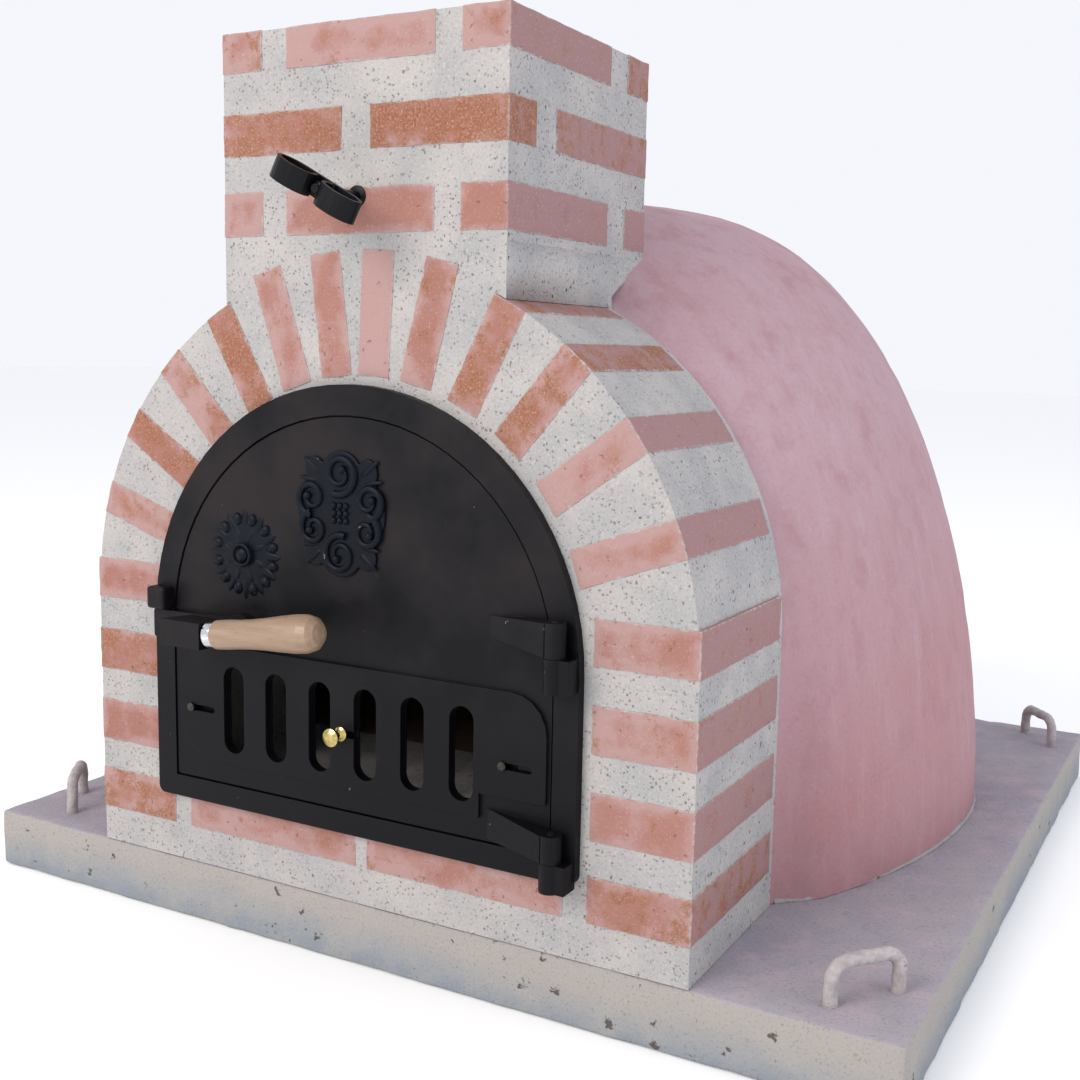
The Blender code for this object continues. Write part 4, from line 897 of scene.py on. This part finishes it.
def ringOf(first, count, offset=0.0):
    # copies of a piece turned about the Y axis, each with its own mesh
    made = [first]
    for k in range(count):
        angle = offset + 2 * math.pi * k / count
        if k == 0:
            copy = first
        else:
            copy = bpy.data.objects.new(first.name, first.data.copy())
            scene.collection.objects.link(copy)
            made.append(copy)
        copy.rotation_euler = (0, angle, 0)
    for copy in made:
        placeInMesh(copy)
    return made


def joinAt(name, parts, place):
    # joins the parts and moves the whole to its place
    clearSelection()
    for part in parts:
        part.select_set(True)
    bpy.context.view_layer.objects.active = parts[0]
    bpy.ops.object.join()
    made = bpy.context.object
    made.name = name
    made.location = place
    placeInMesh(made)
    return made


def ball(place, radii, segments=16, rings=10):
    clearSelection()
    bpy.ops.mesh.primitive_uv_sphere_add(segments=segments, ring_count=rings, radius=1, location=place)
    made = bpy.context.object
    made.scale = radii
    placeInMesh(made)
    return made


def castRosette():
    r = rosette
    parts = ringOf(petal(r["outerFrom"], r["outerTo"], r["outerWidth"], r["outerHeight"]), r["outerPetals"])
    parts += ringOf(petal(r["innerFrom"], r["innerTo"], r["innerWidth"], r["innerHeight"]), r["innerPetals"],
                    math.pi / r["innerPetals"])
    bead = ball((r["beadAt"], -0.001, 0), (r["beadSize"], r["beadSize"] * 0.5, r["beadSize"] * 0.75), 12, 8)
    parts += ringOf(bead, r["beads"], math.pi / r["beads"])
    clearSelection()
    bpy.ops.mesh.primitive_torus_add(
        major_radius=r["boss"] * r["collarShare"], minor_radius=r["collarWire"], major_segments=32,
        minor_segments=10, rotation=(math.pi / 2, 0, 0), location=(0, r["collarAt"], 0))
    parts.append(bpy.context.object)
    placeInMesh(parts[-1])
    parts.append(ball((0, r["bossAt"], 0), (r["boss"], r["bossHeight"] + r["bossAt"], r["boss"]), 24, 14))
    parts.append(ball((0, 0, 0), (r["backing"], r["backingHeight"], r["backing"]), 32, 12))
    made = joinAt("door_rosette", parts, (r["x"], leafFace + r["lift"], r["z"]))
    dress(made, ornamentMade, "door", r["smooth"])


castRosette()

cartouche = {
    "x": -0.031, "z": 0.557, "plateHeight": 0.0042, "voxel": 0.0012, "smooth": 60, "sink": 0.0006,
    # a scroll's wire starts this many times its radius thick and loses some on the way
    "wire": 0.0042, "wireStart": 1.15, "wireLoss": 0.45, "scrollPoints": 44,
    "leafHeight": 0.0052, "leafBreadth": 1.35, "leafSink": 0.0012,
    # discs of the backing plate: (x, z, half width, half height)
    "discs": ((0.0, 0.046, 0.030, 0.029), (0.0, -0.046, 0.029, 0.028), (0.034, 0.004, 0.029, 0.040),
              (-0.034, 0.004, 0.029, 0.040), (0.0, 0.0, 0.034, 0.052), (0.038, 0.050, 0.014, 0.017),
              (-0.038, 0.050, 0.014, 0.017), (0.036, -0.048, 0.015, 0.015), (-0.036, -0.048, 0.015, 0.015)),
    # scrolls: (x, z, outer radius, inner radius, start degrees, sweep degrees)
    "scrolls": ((0.0, 0.048, 0.025, 0.007, 250, 520), (0.0, -0.047, 0.024, 0.007, 70, 520),
                (0.041, 0.018, 0.021, 0.006, 270, 470), (-0.041, 0.018, 0.021, 0.006, 270, -470),
                (0.038, -0.018, 0.020, 0.006, 80, -470), (-0.038, -0.018, 0.020, 0.006, 100, 470)),
    # leaves: (x, z, length, width, degrees from +X towards +Z)
    "leaves": ((0.030, 0.046, 0.030, 0.013, 40), (-0.030, 0.046, 0.030, 0.013, 140),
               (0.029, -0.044, 0.028, 0.013, -38), (-0.029, -0.044, 0.028, 0.013, 218),
               (0.034, 0.038, 0.026, 0.010, 8), (-0.034, 0.038, 0.026, 0.010, 172),
               (0.030, -0.036, 0.026, 0.010, -6), (-0.030, -0.036, 0.026, 0.010, 186)),
    "fieldStuds": 3, "studPitch": 0.0088, "studSize": 0.0043, "studSink": 0.0008, "studMiddle": 0.002,
}


def scroll(x, z, outer, inner, start, sweep, wire):
    # a thick wire wound inwards, thinner towards its eye
    count = cartouche["scrollPoints"]
    line = bpy.data.curves.new("scroll", 'CURVE')
    line.dimensions = '3D'
    line.bevel_depth = wire
    line.bevel_resolution = 3
    line.use_fill_caps = True
    spline = line.splines.new('POLY')
    spline.points.add(count - 1)
    for k, point in enumerate(spline.points):
        done = k / (count - 1)
        angle = math.radians(start + sweep * done)
        radius = outer + (inner - outer) * done
        point.co = (x + radius * math.cos(angle), 0, z + radius * math.sin(angle), 1)
        point.radius = cartouche["wireStart"] - cartouche["wireLoss"] * done
    drawn = bpy.data.objects.new("scroll", line)
    scene.collection.objects.link(drawn)
    pick(drawn)
    bpy.ops.object.convert(target='MESH')
    made = bpy.context.object
    placeInMesh(made)
    last = math.radians(start + sweep)
    eyePlace = (x + inner * math.cos(last), -0.0005, z + inner * math.sin(last))
    eye = ball(eyePlace, (wire * 1.25, wire * 1.35, wire * 1.25), 14, 8)
    pick(made)
    eye.select_set(True)
    bpy.ops.object.join()
    return bpy.context.object


def castCartouche():
    c = cartouche
    discs = []
    for x, z, halfWide, halfHigh in c["discs"]:
        clearSelection()
        bpy.ops.mesh.primitive_cylinder_add(vertices=48, radius=1, depth=1, rotation=(math.pi / 2, 0, 0))
        disc = bpy.context.object
        placeInMesh(disc)
        disc.location = (x, -c["plateHeight"] / 2, z)
        disc.scale = (halfWide, c["plateHeight"], halfHigh)
        placeInMesh(disc)
        discs.append(disc)
    plate = joinAt("cartouche_plate", discs, (0, 0, 0))
    merged = plate.modifiers.new("merged", 'REMESH')
    merged.mode = 'VOXEL'
    merged.voxel_size = c["voxel"]
    calm = plate.modifiers.new("calm", 'SMOOTH')
    calm.iterations = 4
    applyAll(plate)
    parts = [plate]
    rise = -c["plateHeight"] - c["sink"]
    for row in c["scrolls"]:
        made = scroll(*row, c["wire"])
        made.location = (0, rise, 0)
        placeInMesh(made)
        parts.append(made)
    for x, z, length, width, degrees in c["leaves"]:
        leaf = petal(0.0, length, width * c["leafBreadth"], c["leafHeight"])
        leaf.rotation_euler = (0, -math.radians(degrees), 0)
        leaf.location = (x, rise + c["leafSink"], z)
        placeInMesh(leaf)
        parts.append(leaf)
    half = (c["fieldStuds"] - 1) / 2
    for i in range(c["fieldStuds"]):
        for k in range(c["fieldStuds"]):
            up = c["studMiddle"] + (k - half) * c["studPitch"]
            place = ((i - half) * c["studPitch"], rise + c["studSink"], up)
            parts.append(ball(place, (c["studSize"],) * 3, 12, 8))
    made = joinAt("door_cartouche", parts, (c["x"], leafFace + c["sink"], c["z"]))
    dress(made, ornamentMade, "door", c["smooth"])


castCartouche()
print("door ornaments are cast")


# small hardware

hardware = {
    "escutcheon": (-0.0168, 0.9197, 0.0122, 0.0028),     # x, z, radius, how proud
    "escutcheonBevel": 0.001,
    "chimneyFace": -0.65,
    # x, z, radius, y, thickness
    "damperNut": (-0.0168, 0.9197, 0.0088, -0.7205, 0.0058),
    "latchNut": (-0.178, 0.406, 0.0092, -0.6745, 0.0060),
    # shares of a nut's radius
    "nutBevel": 0.10, "studRadius": 0.55, "studBevel": 0.08, "washerRadius": 0.98,
    # shares of a nut's thickness
    "studLength": 1.9, "washerWire": 0.16, "washerAt": 0.5,
    "smooth": 35,
}


def hexNut(name, x, z, radius, y, thick, material, body, slot):
    # a nut on the end of its stud, over a washer
    h = hardware
    level = (math.pi / 2, 0, 0)
    clearSelection()
    bpy.ops.mesh.primitive_cylinder_add(vertices=6, radius=radius, depth=thick, rotation=level, location=(x, y, z))
    nut = bpy.context.object
    placeInMesh(nut)
    bevelEdges(nut, radius * h["nutBevel"])
    clearSelection()
    bpy.ops.mesh.primitive_cylinder_add(vertices=28, radius=radius * h["studRadius"],
                                        depth=thick * h["studLength"], rotation=level, location=(x, y, z))
    stud = bpy.context.object
    placeInMesh(stud)
    bevelEdges(stud, radius * h["studBevel"])
    clearSelection()
    bpy.ops.mesh.primitive_torus_add(
        major_radius=radius * h["washerRadius"], minor_radius=thick * h["washerWire"], major_segments=36,
        minor_segments=8, rotation=level, location=(x, y + thick * h["washerAt"], z))
    washer = bpy.context.object
    placeInMesh(washer)
    made = joinAt(name, [nut, stud, washer], (0, 0, 0))
    return dress(made, material, body, h["smooth"])


def addHardware():
    h = hardware
    x, z, radius, proud = h["escutcheon"]
    clearSelection()
    bpy.ops.mesh.primitive_cylinder_add(vertices=48, radius=radius, depth=proud * 2, rotation=(math.pi / 2, 0, 0),
                                        location=(x, h["chimneyFace"], z))
    plate = bpy.context.object
    placeInMesh(plate)
    bevelEdges(plate, h["escutcheonBevel"])
    plate.name = "damper_escutcheon"
    dress(plate, strapMade, "oven", h["smooth"])
    hexNut("damper_nut", *h["damperNut"], strapMade, "damper", "black_steel")
    hexNut("latch_nut", *h["latchNut"], doorMade, "latch", "black_cast_iron")


addHardware()
print("hardware is on")
